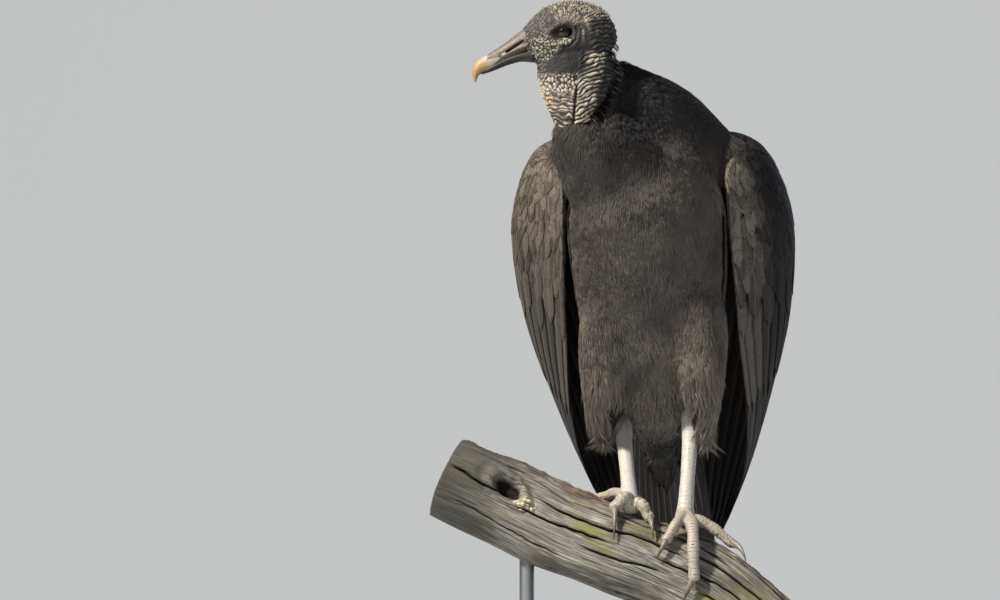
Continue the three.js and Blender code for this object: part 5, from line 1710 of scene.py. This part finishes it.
bpy.ops.object.shade_smooth_by_angle(angle=math.radians(35))
stand_base.data.materials.append(stand_paint)

rods = []
for i, x in enumerate((-105, 50)):
    low, high = np.array(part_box(f"stand_rod_{i + 1}"))
    deselect()
    bpy.ops.mesh.primitive_cylinder_add(
        vertices=64, radius=0.006, depth=float(high[2] - low[2]),
        location=((x + FEET[0]) * MM, FEET[1] * MM, float(low[2] + high[2]) / 2),
    )
    rod = bpy.context.object
    rod.name = f"stand_rod_steel_{i + 1}"
    settle(rod)
    edit(rod, (False, True, False))
    bpy.ops.mesh.select_all(action="DESELECT")
    bpy.ops.object.mode_set(mode="OBJECT")
    for edge in rod.data.edges:
        a, b = (rod.data.vertices[k].co for k in edge.vertices)
        edge.select = abs(a.z - b.z) < 1e-6
    bpy.ops.object.mode_set(mode="EDIT")
    bpy.ops.mesh.bevel(offset=0.0006, segments=3, affect="EDGES")
    bpy.ops.object.mode_set(mode="OBJECT")
    deselect()
    rod.select_set(True)
    bpy.context.view_layer.objects.active = rod
    bpy.ops.object.shade_smooth_by_angle(angle=math.radians(35))
    rod.data.materials.append(steel)
    rods.append((rod, f"stand_rod_{i + 1}"))


# ---------------------------------------------------------------- camera and lights

VIEW_ANGLE, VIEW_RISE = math.radians(7.5), math.radians(-7)
to_camera = np.array([
    math.sin(VIEW_ANGLE) * math.cos(VIEW_RISE), -math.cos(VIEW_ANGLE) * math.cos(VIEW_RISE),
    math.sin(VIEW_RISE),
])
right = np.array([math.cos(VIEW_ANGLE), math.sin(VIEW_ANGLE), 0.0])
up = np.cross(to_camera, right)
DISTANCE, PIXEL, FLOOR_SIZE, BACKDROP_AWAY = 2400.0, 0.8, 14.0, 6.9
target = FEET - right * 157 * PIXEL + up * 212 * PIXEL
camera_data = bpy.data.cameras.new("camera")
camera_data.lens, camera_data.sensor_width = 108, 36
camera = bpy.data.objects.new("camera", camera_data)
matrix = Matrix.Identity(4)
for column, axis in enumerate((right, up, to_camera, (target + to_camera * DISTANCE) * MM)):
    for row in range(3):
        matrix[row][column] = axis[row]
camera.matrix_world = matrix
bpy.context.scene.collection.objects.link(camera)
bpy.context.scene.camera = camera


def soft_light(name, place, aim, size, power, tone):
    data = bpy.data.lights.new(name, "AREA")
    data.shape, data.size, data.energy = "DISK", size, power
    data.color = colour(tone, alpha=False)
    light = bpy.data.objects.new(name, data)
    place, aim = Vector(place), Vector(aim)
    turned = (place - aim).to_track_quat("Z", "Y").to_matrix().to_4x4()
    light.matrix_world = Matrix.Translation(place) @ turned
    bpy.context.scene.collection.objects.link(light)


soft_light("key_light", (-1.75, -1.85, 2.45), (0, 0, 0.4), 0.30, 235, "#fff7ea")
soft_light("fill_light", (0.6, -2.6, 0.7), (0, 0, 0.35), 2.2, 3, "#eef2ff")
soft_light("rim_light", (1.9, 1.3, 1.2), (0, 0, 0.4), 1.0, 6, "#bcd4ff")

# A pale backdrop and a wide pale floor, a hair under the base so that the two never share a face.
deselect()
bpy.ops.mesh.primitive_plane_add(size=FLOOR_SIZE, location=(0, 0, -0.0002))
floor = bpy.context.active_object
floor.name = "floor"
floor.data.materials.append(floor_mat)
bpy.ops.mesh.primitive_plane_add(
    size=FLOOR_SIZE, location=(0, BACKDROP_AWAY, 0), rotation=(math.pi / 2, 0, 0)
)
backdrop = bpy.context.active_object
backdrop.name = "backdrop"
backdrop.data.materials.append(backdrop_mat)

world = bpy.data.worlds.new("studio_air")
world.use_nodes = True
world.node_tree.nodes["Background"].inputs[0].default_value = colour("#e4e9ee")
world.node_tree.nodes["Background"].inputs[1].default_value = 0.15
bpy.context.scene.world = world
bpy.context.scene.view_settings.view_transform = "Standard"


# ---------------------------------------------------------------- what rides on what

deselect()
for part in (body_skin, head_skin, leg_skin):
    part.select_set(True)
bpy.context.view_layer.objects.active = body_skin
bpy.ops.object.join()
skin = body_skin

root_pieces = [
    (skin, ["head", "neck", "trunk", "thigh_left", "thigh_right", "shank_left", "shank_right", "foot_left",
            "foot_right"], "plumage"),
    (bill, ["bill_upper"], "horn"),
    (lower_bill, ["bill_lower"], "horn"),
    (tail_feathers, ["tail"], "flight_feather"),
    (perch, ["perch"], "dead_wood"),
    (stand_base, ["stand_base"], "stand_paint"),
]
root_pieces += [(ball, [node], "eye") for ball, node in eyes]
root_pieces += [(talon, [node], "claw_horn") for talon, node in claws]
root_pieces += [(rod, [node], "rod_steel") for rod, node in rods]
root_pieces += [(part, [], "plumage") for part in coat]
root_pieces += [(bristles, [], "face_skin")]
root_pieces += [
    (part, [node] if kind == "flight_feathers" else [], "flight_feather") for part, node, kind in wings
]
for part, nodes, slot in root_pieces:
    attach(part, "root")
    if nodes:
        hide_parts(*nodes)
